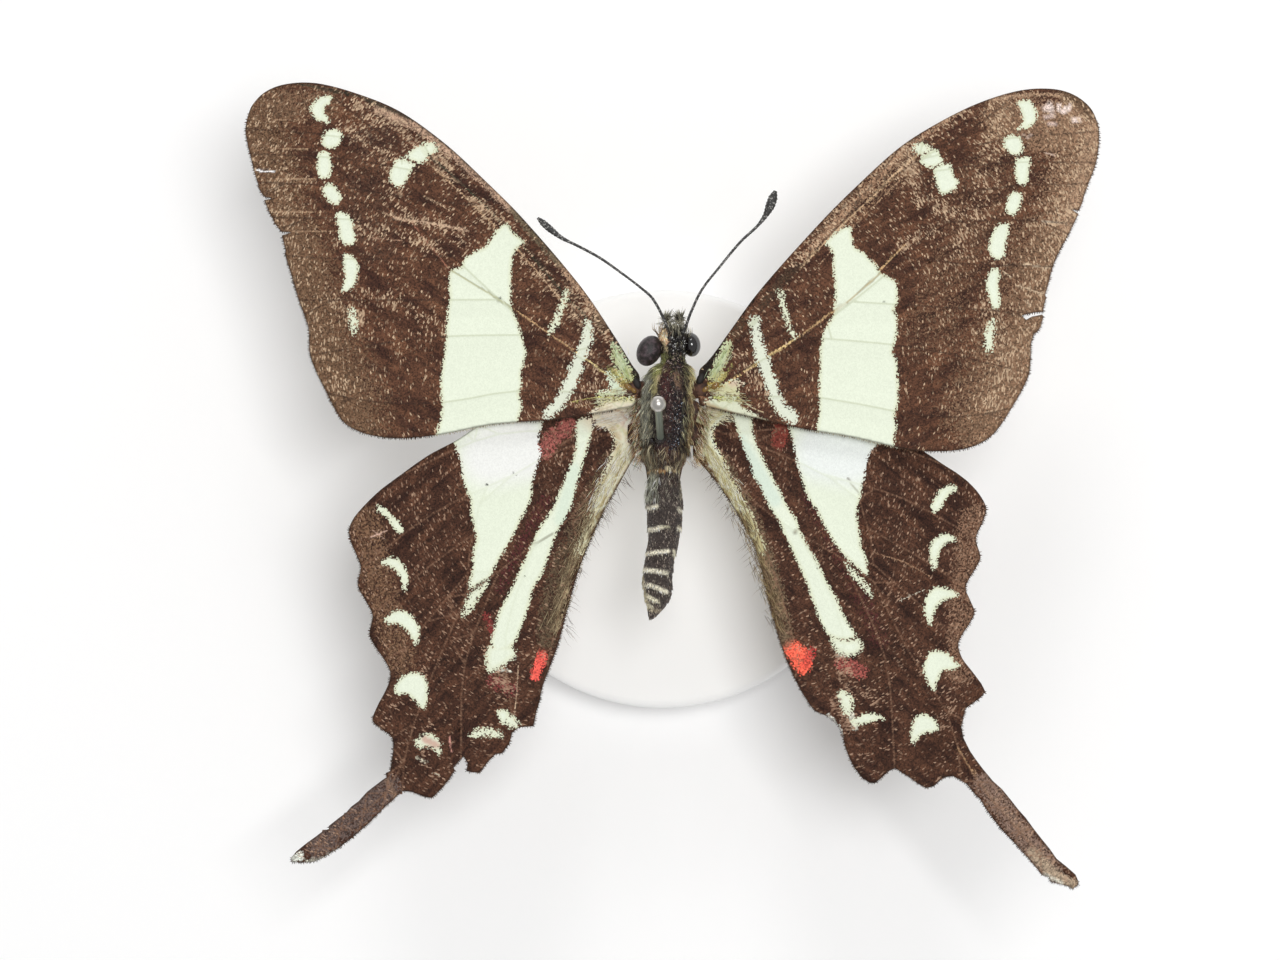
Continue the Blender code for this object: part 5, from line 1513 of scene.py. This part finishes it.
def growWingHair():
    parts = []
    for count, line, scatter, height, lengths, heading, shades in wingHair.values():
        spots = spotsAlong(line, count, scatter)
        level = height + wing["rise"] * np.abs(spots[:, 0]) * 0.9 + spread(-0.03, 0.03, count)
        roots = np.column_stack([spots, level])
        normals = np.tile([0.0, 0.0, 1.0], (count, 1))
        lies = unit(np.array([*heading, 0.0]) + rng.normal(0, 0.2, (count, 3)) * (1, 1, 0.15))
        lengths = spread(*lengths, count)
        widths = spread(0.012, 0.02, count)
        lifts = spread(0.02, 0.18, count)
        colours = pick(shades, count) * spread(1.1, 1.7, count)[:, None]
        parts.append((roots, normals, lies, lengths, widths, lifts, colours, wingPlaces(spots)))
    for side in ("left", "right"):
        count, line, heading = marginHair[side]
        spots = spotsAlong(line, count, 0.03)
        level = sheetHeight(spots[:, 0], spots[:, 1], wings["hindwingLeft"]["level"])
        roots = np.column_stack([spots, level])
        normals = unit(np.tile([-np.sign(heading[0]) * 0.6, -0.5, 0.6], (count, 1)))
        lies = unit(np.array([*heading, -0.05]) + rng.normal(0, 0.22, (count, 3)))
        widths = marginHair["width"] * spread(0.7, 1.3, count)
        lengths = spread(*marginHair["length"], count)
        lifts = spread(-0.6, 0.5, count)
        colours = pick(marginHair["shades"], count)
        parts.append((roots, normals, lies, lengths, widths, lifts, colours, wingPlaces(spots)))
    growTufts("wingHair", parts)


growWingHair()

# Fringe: a short row of scales along the outer and hind margins, dark but for the pale marks.
fringe = {
    "apart": 0.08,
    "sunk": 0.06,
    "length": (0.14, 0.26),
    "halfWidth": (0.025, 0.045),
    "lift": (-0.05, 0.08),
    "stray": 0.22,
    "dark": ("3E2A20", "523A2C", "2E1F18", "6B4D3A"),
    "light": ("D8D4BC", "BDB294", "8A7460"),
    "clearOfBody": 3.2,
}


def growFringe():
    parts = []
    for name, rim in rims.items():
        shape = wings[name]
        line = smoothLine(rim, fringe["apart"], closed=True)
        along = np.roll(line, -1, axis=0) - np.roll(line, 1, axis=0)
        outward = unit(np.stack([along[:, 1], -along[:, 0]], axis=1))
        keep = (outward[:, 1] < 0.3) & (np.abs(line[:, 0]) > fringe["clearOfBody"])
        line, outward = line[keep], outward[keep]
        count = len(line)
        level = sheetHeight(line[:, 0], line[:, 1], shape["level"]) + spread(-0.05, 0.05, count)
        roots = np.column_stack([line - outward * fringe["sunk"], level])
        lies = np.column_stack([outward, np.zeros(count)])
        lies += rng.normal(0, fringe["stray"], (count, 3))
        normals = np.tile([0.0, 0.0, 1.0], (count, 1))
        dark = pick(fringe["dark"], count)
        light = pick(fringe["light"], count)
        share = ramp(depthInside(line, shape["pale"], wing["shapeStep"]), -0.5, -0.1)[:, None]
        lengths = spread(*fringe["length"], count)
        widths = spread(*fringe["halfWidth"], count)
        lifts = spread(*fringe["lift"], count)
        colours = dark * (1 - share) + light * share
        parts.append((roots, normals, unit(lies), lengths, widths, lifts, colours, wingPlaces(line)))
    growTufts("wingFringe", parts)


growFringe()

# Eyes: domes of clear chitin lenses about 0.03 mm across. The left one has shrunk and dulled in
# drying, so it is soft grey-brown, and the right one is black and still shines.
eyes = {
    "eyeLeft": {"centre": (-1.0, 10.12, 20.65), "turn": -26, "colour": "241F1E",
                "spots": "54464A", "roughness": 0.36, "radii": (0.82, 1.08, 0.95), "wrinkles": 0.5,
                "gloss": 0.4},
    "eyeRight": {"centre": (1.86, 10.55, 20.15), "turn": 8, "colour": "0B0809",
                 "spots": "171113", "roughness": 0.07, "radii": (0.62, 0.82, 0.85), "wrinkles": 0.05,
                 "gloss": 1.0},
    "facetsPerMm": 34,
}


def makeEye(name):
    eye = eyes[name]
    material, tree, shader = newMaterial(
        name + " facets", {"Roughness": eye["roughness"], "Specular IOR Level": eye["gloss"]}
    )
    place = addNode(tree, "TexCoord")["Object"]
    cloud = addNode(
        tree, "TexNoise", {"Vector": place, "Scale": 3.4 / mm, "Detail": 6.0, "Roughness": 0.7}
    )["Fac"]
    colour = blendTones(tree, cloud, 0.45, 0.62, eye["colour"], eye["spots"])
    facets = addNode(tree, "TexVoronoi", {"Vector": place, "Scale": eyes["facetsPerMm"] / mm})
    relief = addNode(
        tree, "Bump", {"Height": facets["Distance"], "Strength": 0.12, "Distance": 0.01 * mm}
    )[0]
    relief = addNode(
        tree, "Bump", {"Height": cloud, "Strength": eye["wrinkles"], "Distance": 0.12 * mm, "Normal": relief}
    )[0]
    fillSockets(tree, shader, {"Base Color": colour, "Normal": relief})
    bm = bmesh.new()
    addBall(bm, eye["centre"], eye["radii"], 64, 40, eye["turn"])
    finishPiece(name, bm, (material,), (nodeOf(name),))


makeEye("eyeLeft")
makeEye("eyeRight")

# Antennae: dull black cuticle in short rings, ending in a flattened club dusted with scales.
# Radii are (share of the length, radius).
antenna = {
    "antennaLeft": (
        (0.34, 11.2, 20.95), (0.16, 11.85, 21.45), (-0.75, 13.56, 22.05), (-1.63, 14.37, 22.20),
        (-2.98, 15.39, 22.25), (-4.34, 16.34, 22.25), (-5.69, 17.08, 22.20),
        (-6.92, 17.70, 22.10), (-7.70, 18.30, 22.0), (-8.54, 19.05, 21.95)),
    "antennaRight": (
        (1.15, 11.2, 21.10), (1.38, 11.50, 21.55), (1.80, 12.65, 21.85), (2.55, 14.20, 22.00),
        (3.80, 15.80, 22.10), (5.15, 17.42, 22.10), (6.37, 18.58, 22.00),
        (7.00, 19.50, 21.90), (7.52, 20.88, 21.80)),
    "radii": ((0.0, 0.16), (0.05, 0.1), (0.4, 0.082), (0.78, 0.095), (0.85, 0.18), (0.91, 0.32),
        (0.96, 0.31), (1.0, 0.12)),
    "thinClub": 0.72,
    "sides": 16,
    "step": 0.06,
    "ringLength": 0.24,
    "flat": 0.72,
}


def makeAntenna(name):
    # Antenna cuticle: grown in rings with tiny scales on them, so it is dull black with grey specks.
    points = antenna[name]
    material, tree, shader = newMaterial(name + " cuticle", {"Roughness": 0.55})
    place = addNode(tree, "TexCoord")["Object"]
    grains = addNode(tree, "TexVoronoi", {"Vector": place, "Scale": 13 / mm})
    chance = addNode(tree, "SeparateColor", {0: grains["Color"]})[0]
    colour = blendTones(tree, chance, 0.80, 0.86, "2A2827", "8C8A86")
    fillSockets(tree, shader, {"Base Color": colour})
    stations = np.linspace(0, 1, 400)
    length = reachAlong(np.array(points))[-1]
    places, sizes = zip(*antenna["radii"])
    waves = 1 + 0.07 * np.cos(stations * length / antenna["ringLength"] * 2 * math.pi)
    if name == "antennaLeft":
        waves *= np.interp(stations, (0.78, 0.9), (1.0, antenna["thinClub"]))  # seen from its edge
    radii = list(zip(stations, np.interp(stations, places, sizes) * waves))
    bm = bmesh.new()
    loftAlong(bm, points, radii, antenna["sides"], antenna["step"], flat=antenna["flat"])
    finishPiece(name, bm, (material,), (nodeOf(name),))


makeAntenna("antennaLeft")
makeAntenna("antennaRight")

# Mouthparts: hairy palps in front of the face, and the drinking tube coiled beneath it.
mouth = {
    "head": (0.62, 10.75, 20.3),
    "palpSide": 0.45,
    "palpAhead": 1.5,
    "palpDrop": 0.65,
    "palpRadii": (0.21, 0.22, 0.62),
    "palpTilt": -14,
    "coilDrop": 2.95,
    "coilOuter": 1.24,
    "coilInner": 0.22,
    "coilTurns": 2.7,
    "tube": 0.15,
    "hairs": 170,
    "hairShades": ("6E6A58", "A09C86", "332E26", "C9C4AE"),
}


def palpOffset(side):
    return np.array([mouth["palpSide"] * side, mouth["palpAhead"], -mouth["palpDrop"]])


def makeMouth():
    # Brown chitin: thin hard cuticle, dry and smooth, with a soft gloss.
    shell = newMaterial("brown chitin", {"Base Color": srgb("3A3228"), "Roughness": 0.45})[0]
    head = Vector(mouth["head"])
    for word, side in sides.items():
        name = "palp" + word
        bm = bmesh.new()
        centre = head + Vector(palpOffset(side))
        addBall(bm, centre, mouth["palpRadii"], 28, 24, mouth["palpTilt"], "X")
        finishPiece(name, bm, (shell,), (nodeOf(name),))
    centre = head - Vector((0, 0, mouth["coilDrop"]))
    turns = np.linspace(0, mouth["coilTurns"] * 2 * math.pi, 110)
    reach = mouth["coilOuter"] + (mouth["coilInner"] - mouth["coilOuter"]) * turns / turns[-1]
    spiral = np.stack(
        [
            np.full(len(turns), centre.x),
            centre.y + np.sin(turns) * reach,
            centre.z + np.cos(turns) * reach,
        ],
        axis=1,
    )
    entry = np.array([[centre.x, centre.y - 0.1, head.z - 1.0]])
    bm = bmesh.new()
    radii = ((0.0, mouth["tube"]), (0.5, mouth["tube"]), (1.0, mouth["tube"] * 0.5))
    loftAlong(bm, np.vstack([entry, spiral]), radii, 14, 0.09, up=(1, 0, 0))
    finishPiece("drinkingTube", bm, (shell,), ("proboscis",))


def growPalpHair():
    parts = []
    count = mouth["hairs"]
    tilt = math.radians(mouth["palpTilt"])
    for side in sides.values():
        turn = spread(0, 2 * math.pi, count)
        height = spread(-0.95, 0.95, count)
        girth = np.sqrt(1 - height**2)
        ball = np.stack([girth * np.cos(turn), girth * np.sin(turn), height], axis=1)
        x, y, z = (ball * np.array(mouth["palpRadii"])).T
        tilted = np.stack(
            [x, y * math.cos(tilt) - z * math.sin(tilt), y * math.sin(tilt) + z * math.cos(tilt)],
            axis=1,
        )
        roots = np.array(mouth["head"]) + palpOffset(side) + tilted
        lies = unit(np.array([-side * 0.1, 0.5, 0.9]) + rng.normal(0, 0.45, (count, 3)))
        lengths = spread(0.35, 0.85, count)
        widths = spread(0.02, 0.034, count)
        lifts = spread(0.1, 0.5, count)
        colours = pick(mouth["hairShades"], count)
        places = np.stack([turn / (2 * math.pi), height * 0.4 + 0.5], axis=1) * 0.99
        normals = unit(ball * (1, 1, 0.5))
        parts.append((roots, normals, lies, lengths, widths, lifts, colours, places))
    growTufts("palpHair", parts)


makeMouth()
growPalpHair()

# Legs: jointed rods of cuticle with spurs and two claws, folded under the body. Places are the
# root, hip, knee, ankle and foot: how far out from the middle of the body, y and z.
legs = {
    "legFore": ((0.62, 8.0, 18.6), (0.75, 8.1, 17.55), (1.10, 8.9, 16.5), (0.95, 7.4, 15.4),
        (0.45, 4.9, 14.9)),
    "legMid": ((0.80, 6.1, 18.4), (0.95, 6.2, 17.3), (1.55, 6.9, 16.1), (1.35, 4.6, 15.1),
            (0.95, 2.2, 14.8)),
    "legHind": ((0.75, 4.4, 18.5), (0.90, 4.3, 17.35), (1.40, 3.6, 16.4), (0.95, 1.0, 15.9),
        (0.65, -1.7, 15.7)),
}
legShape = {
    "hip": ((0.0, 0.36), (0.6, 0.38), (1.0, 0.24)),
    "thigh": ((0.0, 0.20), (0.35, 0.25), (0.85, 0.17), (1.0, 0.13)),
    "shin": ((0.0, 0.13), (0.2, 0.12), (0.8, 0.11), (1.0, 0.14)),
    "toe": ((0.0, 0.07), (0.8, 0.10), (1.0, 0.06)),
    "claw": ((0.0, 0.045), (1.0, 0.01)),
    "spur": ((0.0, 0.04), (1.0, 0.012)),
}


def makeLeg(name, places, side, shell):
    root, hip, knee, ankle, foot = (
        np.array([bodyAt(y)[0] + side * off, y, z]) for off, y, z in places
    )
    bm = bmesh.new()
    for start, end, shape in ((root, hip, "hip"), (hip, knee, "thigh"), (knee, ankle, "shin")):
        loftAlong(bm, (start, end), legShape[shape], 18, 0.16, up=(0.3, 1, 0.2))
    for k in range(5):
        start = ankle + (foot - ankle) * k / 5
        end = ankle + (foot - ankle) * (k + 1.05) / 5
        loftAlong(bm, (start, end), legShape["toe"], 12, 0.12, up=(1, 0, 0.2))
    onward = (foot - ankle) / np.linalg.norm(foot - ankle)
    for turn in (-1, 1):
        tip = foot + onward * 0.16 + np.array([0.12 * turn, 0, -0.06])
        middle = foot + onward * 0.10 + np.array([0.09 * turn, 0, 0.02])
        loftAlong(bm, (foot, middle, tip), legShape["claw"], 8, 0.05)
        spurTip = ankle + onward * 0.4 + np.array([0.16 * turn, 0, -0.1])
        loftAlong(bm, (ankle, spurTip), legShape["spur"], 8, 0.1)
    finishPiece(name, bm, (shell,), (nodeOf(name),))


# Dry leg chitin: hard tubes of cuticle with their scales lost, brown with a soft gloss.
legShell = newMaterial("dry leg chitin", {"Base Color": srgb("4E3A2A"), "Roughness": 0.5})[0]
for pairName, pairPlaces in legs.items():
    for sideWord, sideSign in sides.items():
        makeLeg(pairName + sideWord, pairPlaces, sideSign, legShell)
print("small parts done")

# Pin: one wire with a ball head, drawn to a point.
pin = {
    "top": (-0.45, 6.3, 32.3),
    "lean": (-0.02, 0.21, 1.0),
    "foot": 2.0,
    "radius": 0.235,
    "head": 0.52,
    "steps": 40,
}


def makePin():
    # Nickel plated steel: the plating is bright and grey, softened by fine scratches.
    steel = newMaterial(
        "nickel plated steel", {"Base Color": srgb("C9C5BF"), "Metallic": 1.0, "Roughness": 0.34}
    )[0]
    # Nickel wire: drawn plated steel, half metallic; its light grey-green is a painted reflection
    # along the shaft.
    wire = newMaterial(
        "nickel wire with painted reflection", {"Base Color": srgb("8E998C"), "Metallic": 0.4, "Roughness": 0.35}
    )[0]
    top, lean = Vector(pin["top"]), Vector(pin["lean"])
    foot = top + lean * (pin["foot"] - top.z)
    length = (top - foot).length
    radius, ball = pin["radius"], pin["head"]
    profile = [(0.0, 0.0), (radius * 0.4, 0.6), (radius * 0.85, 1.4), (radius, 2.2)]
    profile += [(radius, length - ball * 1.25), (radius * 1.25, length - ball * 1.02)]
    for turn in np.linspace(-1.05, math.pi / 2, 20)[:-1]:
        profile.append((ball * math.cos(turn), length + ball * math.sin(turn)))
    profile.append((0.0, length + ball))
    bm = turnProfile(profile, pin["steps"])
    turn = Vector((0, 0, 1)).rotation_difference(lean).to_matrix().to_4x4()
    bmesh.ops.transform(bm, matrix=Matrix.Translation(foot) @ turn, verts=bm.verts)
    ballFrom = foot + lean.normalized() * (length - ball * 1.02)
    for face in bm.faces:
        face.material_index = int((face.calc_center_median() - ballFrom).dot(lean) < 0)
    finishPiece("insectPin", bm, (steel, wire), ("stand_pin",))


makePin()

# Drops: the bead of body fluid dried round the pin, and the shiny sockets of the antennae.
drops = {
    "pinBead": ((-0.27, 4.22, 22.25), (0.40, 0.44, 0.50)),
    "pinBeadFoot": ((-0.30, 3.92, 22.10), (0.24, 0.20, 0.20)),
    "pinBeadSide": ((-0.80, 4.05, 22.00), (0.18, 0.18, 0.16)),
    "socketLeft": ((0.42, 10.95, 21.28), (0.20, 0.20, 0.18)),
    "socketRight": ((0.98, 11.00, 21.26), (0.20, 0.20, 0.18)),
    "browLeft": ((0.62, 10.42, 21.34), (0.16, 0.22, 0.12)),
    "browRight": ((1.12, 10.40, 21.22), (0.15, 0.20, 0.14)),
    "browFront": ((1.30, 10.95, 21.05), (0.15, 0.18, 0.14)),
}


def makeDrops():
    # Dried body fluid: run out and set hard like varnish, almost black, lumpy and glossy.
    varnish, tree, shader = newMaterial(
        "dried body fluid", {"Base Color": srgb("1A1112"), "Roughness": 0.14, "Specular IOR Level": 0.6}
    )
    place = addNode(tree, "TexCoord")["Object"]
    lumps = addNode(tree, "TexNoise", {"Vector": place, "Scale": 3.0 / mm, "Detail": 3.0})
    relief = addNode(tree, "Bump", {"Height": lumps["Fac"], "Strength": 0.8, "Distance": 0.25 * mm})[0]
    fillSockets(tree, shader, {"Normal": relief})
    bm = bmesh.new()
    for centre, radii in drops.values():
        addBall(bm, centre, radii, 24, 16)
    finishPiece("driedDrops", bm, (varnish,))


makeDrops()

# Grains: matted hair tips and scales stuck in the dried fluid, each a small shiny flake. Some of
# them are painted glints.
grains = {
    # how many, range along y, range round the body, half length in mm, shades
    # in back, backRight, brow and nape the pale pinkish, grey and bluish-white shades are painted glints
    "back": (560, (3.6, 9.2), (58, 112), (0.035, 0.08),
        ("1E1214", "3A2422", "4A302C", "8A706A", "2A1A1A", "33201E", "1A1012", "5A403A")),
    "backRight": (300, (3.4, 6.6), (46, 84), (0.03, 0.07),
        ("121016", "1E1A1E", "A8B2BE", "1E181C", "16141A", "2A2226", "1A1418", "3E3438",
        "4E545E")),
    "brow": (200, (9.9, 11.5), (30, 112), (0.035, 0.075),
        ("121012", "1E1C1A", "8A8884", "D4D4D0", "1A1616", "161414", "2A2826")),
    "nape": (150, (8.8, 10.0), (40, 120), (0.03, 0.07),
        ("1E1414", "4A302C", "B8A49A", "2A1E1C")),
    "sides": (240, (2.6, 8.8), (15, 170), (0.03, 0.06),
        ("2A201A", "8A7A62", "D8CCB0", "4A3A2E")),
    "tail": (140, (-7.6, 1.8), (20, 160), (0.025, 0.05),
        ("4A403A", "8A7E74", "2A2420", "C9BEB0")),
}


def growGrains():
    # Glued scales: loose scales set in dried fluid, in many browns, with small sharp glints; their
    # pale pinkish, grey and bluish-white tones are painted glints. They are drawn a little coarser
    # than real ones, so that the glints show.
    flake = newTonedMaterial("glued scales and painted glints", {"Roughness": 0.18, "Specular IOR Level": 0.6})
    bm = bmesh.new()
    bmesh.ops.create_icosphere(bm, subdivisions=1, radius=1)
    ball = np.array([vert.co[:] for vert in bm.verts])
    faces = [[vert.index for vert in face.verts] for face in bm.faces]
    bm.free()
    parts = []
    for count, ySpan, turns, sizes, colours in grains.values():
        _, _, roots, normals, places = bodySpots(count, ySpan, turns)
        normals = unit(normals + rng.normal(0, 0.45, (count, 3)))
        along = unit(np.cross(normals, rng.normal(0, 1, (count, 3))))
        across = np.cross(normals, along)
        size = spread(*sizes, count)[:, None]
        axes = np.stack([along * size, across * size * 0.65, normals * size * 0.5], axis=1)
        spots = roots[:, None, :] + normals[:, None, :] * 0.05 + ball @ axes
        tones = np.repeat(pick(colours, count)[:, None, :], len(ball), axis=1)
        parts.append((spots, tones, places))
    spots, tones, places = (np.concatenate(column) for column in zip(*parts))
    patch = (ball[:, :2] + 1) / 2
    placeMany("grainsAndPaintedGlints", spots, faces, tones, places, patch, flake)


growGrains()

# Stand: a plain disc with a rounded edge, turned on a lathe.
stand = {"radius": 15.0, "height": 5.0, "edge": 0.6, "steps": 160}


def makeStand():
    # White acrylic: cast, turned and satin-polished, white right through with a soft broad sheen.
    acrylic = newMaterial(
        "white acrylic", {"Base Color": srgb("FEFEFD"), "Roughness": 0.5, "Specular IOR Level": 0.3}
    )[0]
    radius, height, edge = stand["radius"], stand["height"], stand["edge"]
    profile = [(0.0, 0.0), (radius - edge, 0.0)]
    for centreZ, first in ((edge, -math.pi / 2), (height - edge, 0.0)):
        for turn in np.linspace(first, first + math.pi / 2, 9):
            profile.append((radius - edge + edge * math.cos(turn), centreZ + edge * math.sin(turn)))
    profile.append((0.0, height))
    bm = turnProfile(profile, stand["steps"])
    finishPiece("standDisc", bm, (acrylic,), ("stand_base",))


makeStand()
print("pin and stand done")

# Floor, light and camera.
view = {
    "distance": 0.28,
    "wingLevel": 20.8 * mm,
    "sensor": 36.0,
    "aim": (0, 0, 0.02),
    "floorSize": 1.6,
    "key": (0.075, 0.055, 0.60),
    "keyPower": 1.78,
    "keySize": 0.20,
    "lamp": (-0.02, 0.42, 0.36),
    "lampPower": 0.45,
    "lampSize": 0.13,
    "sky": "F9F9F9",
    "skyStrength": 0.50,
}


def makeStage():
    bm = bmesh.new()
    bmesh.ops.create_grid(bm, x_segments=1, y_segments=1, size=view["floorSize"] / 2)
    mesh = bpy.data.meshes.new("floor")
    bm.to_mesh(mesh)
    bm.free()
    # White card: pressed paper, dull and even.
    card = newMaterial("white card", {"Base Color": srgb("FFFFFF"), "Roughness": 0.9})[0]
    mesh.materials.append(card)
    linkObject("floor", mesh)


def makeLight(name, place, power, size):
    lamp = bpy.data.lights.new(name, "AREA")
    lamp.energy = power
    lamp.size = size
    light = linkObject(name, lamp)
    light.location = place
    light.rotation_euler = (Vector(view["aim"]) - Vector(place)).to_track_quat("-Z", "Y").to_euler()


def makeCamera():
    centre = fromPhoto((photo["width"] / 2, photo["height"] / 2))[0] * mm
    lens = bpy.data.cameras.new("camera")
    span = photo["width"] / photo["pixelsPerMm"] * mm
    lens.sensor_width = view["sensor"]
    lens.lens = view["sensor"] * view["distance"] / span
    lens.clip_start = 0.01
    camera = linkObject("camera", lens)
    camera.location = (centre[0], centre[1], view["wingLevel"] + view["distance"])
    bpy.context.scene.camera = camera


def makeSky():
    world = bpy.data.worlds.new("studio")
    world.use_nodes = True
    background = world.node_tree.nodes["Background"]
    sky = {"Color": srgb(view["sky"]), "Strength": view["skyStrength"]}
    fillSockets(world.node_tree, background, sky)
    bpy.context.scene.world = world


makeStage()
makeLight("window", view["key"], view["keyPower"], view["keySize"])
makeLight("lamp", view["lamp"], view["lampPower"], view["lampSize"])
makeCamera()
makeSky()
bpy.context.scene.view_settings.view_transform = "Standard"
print("stage done")
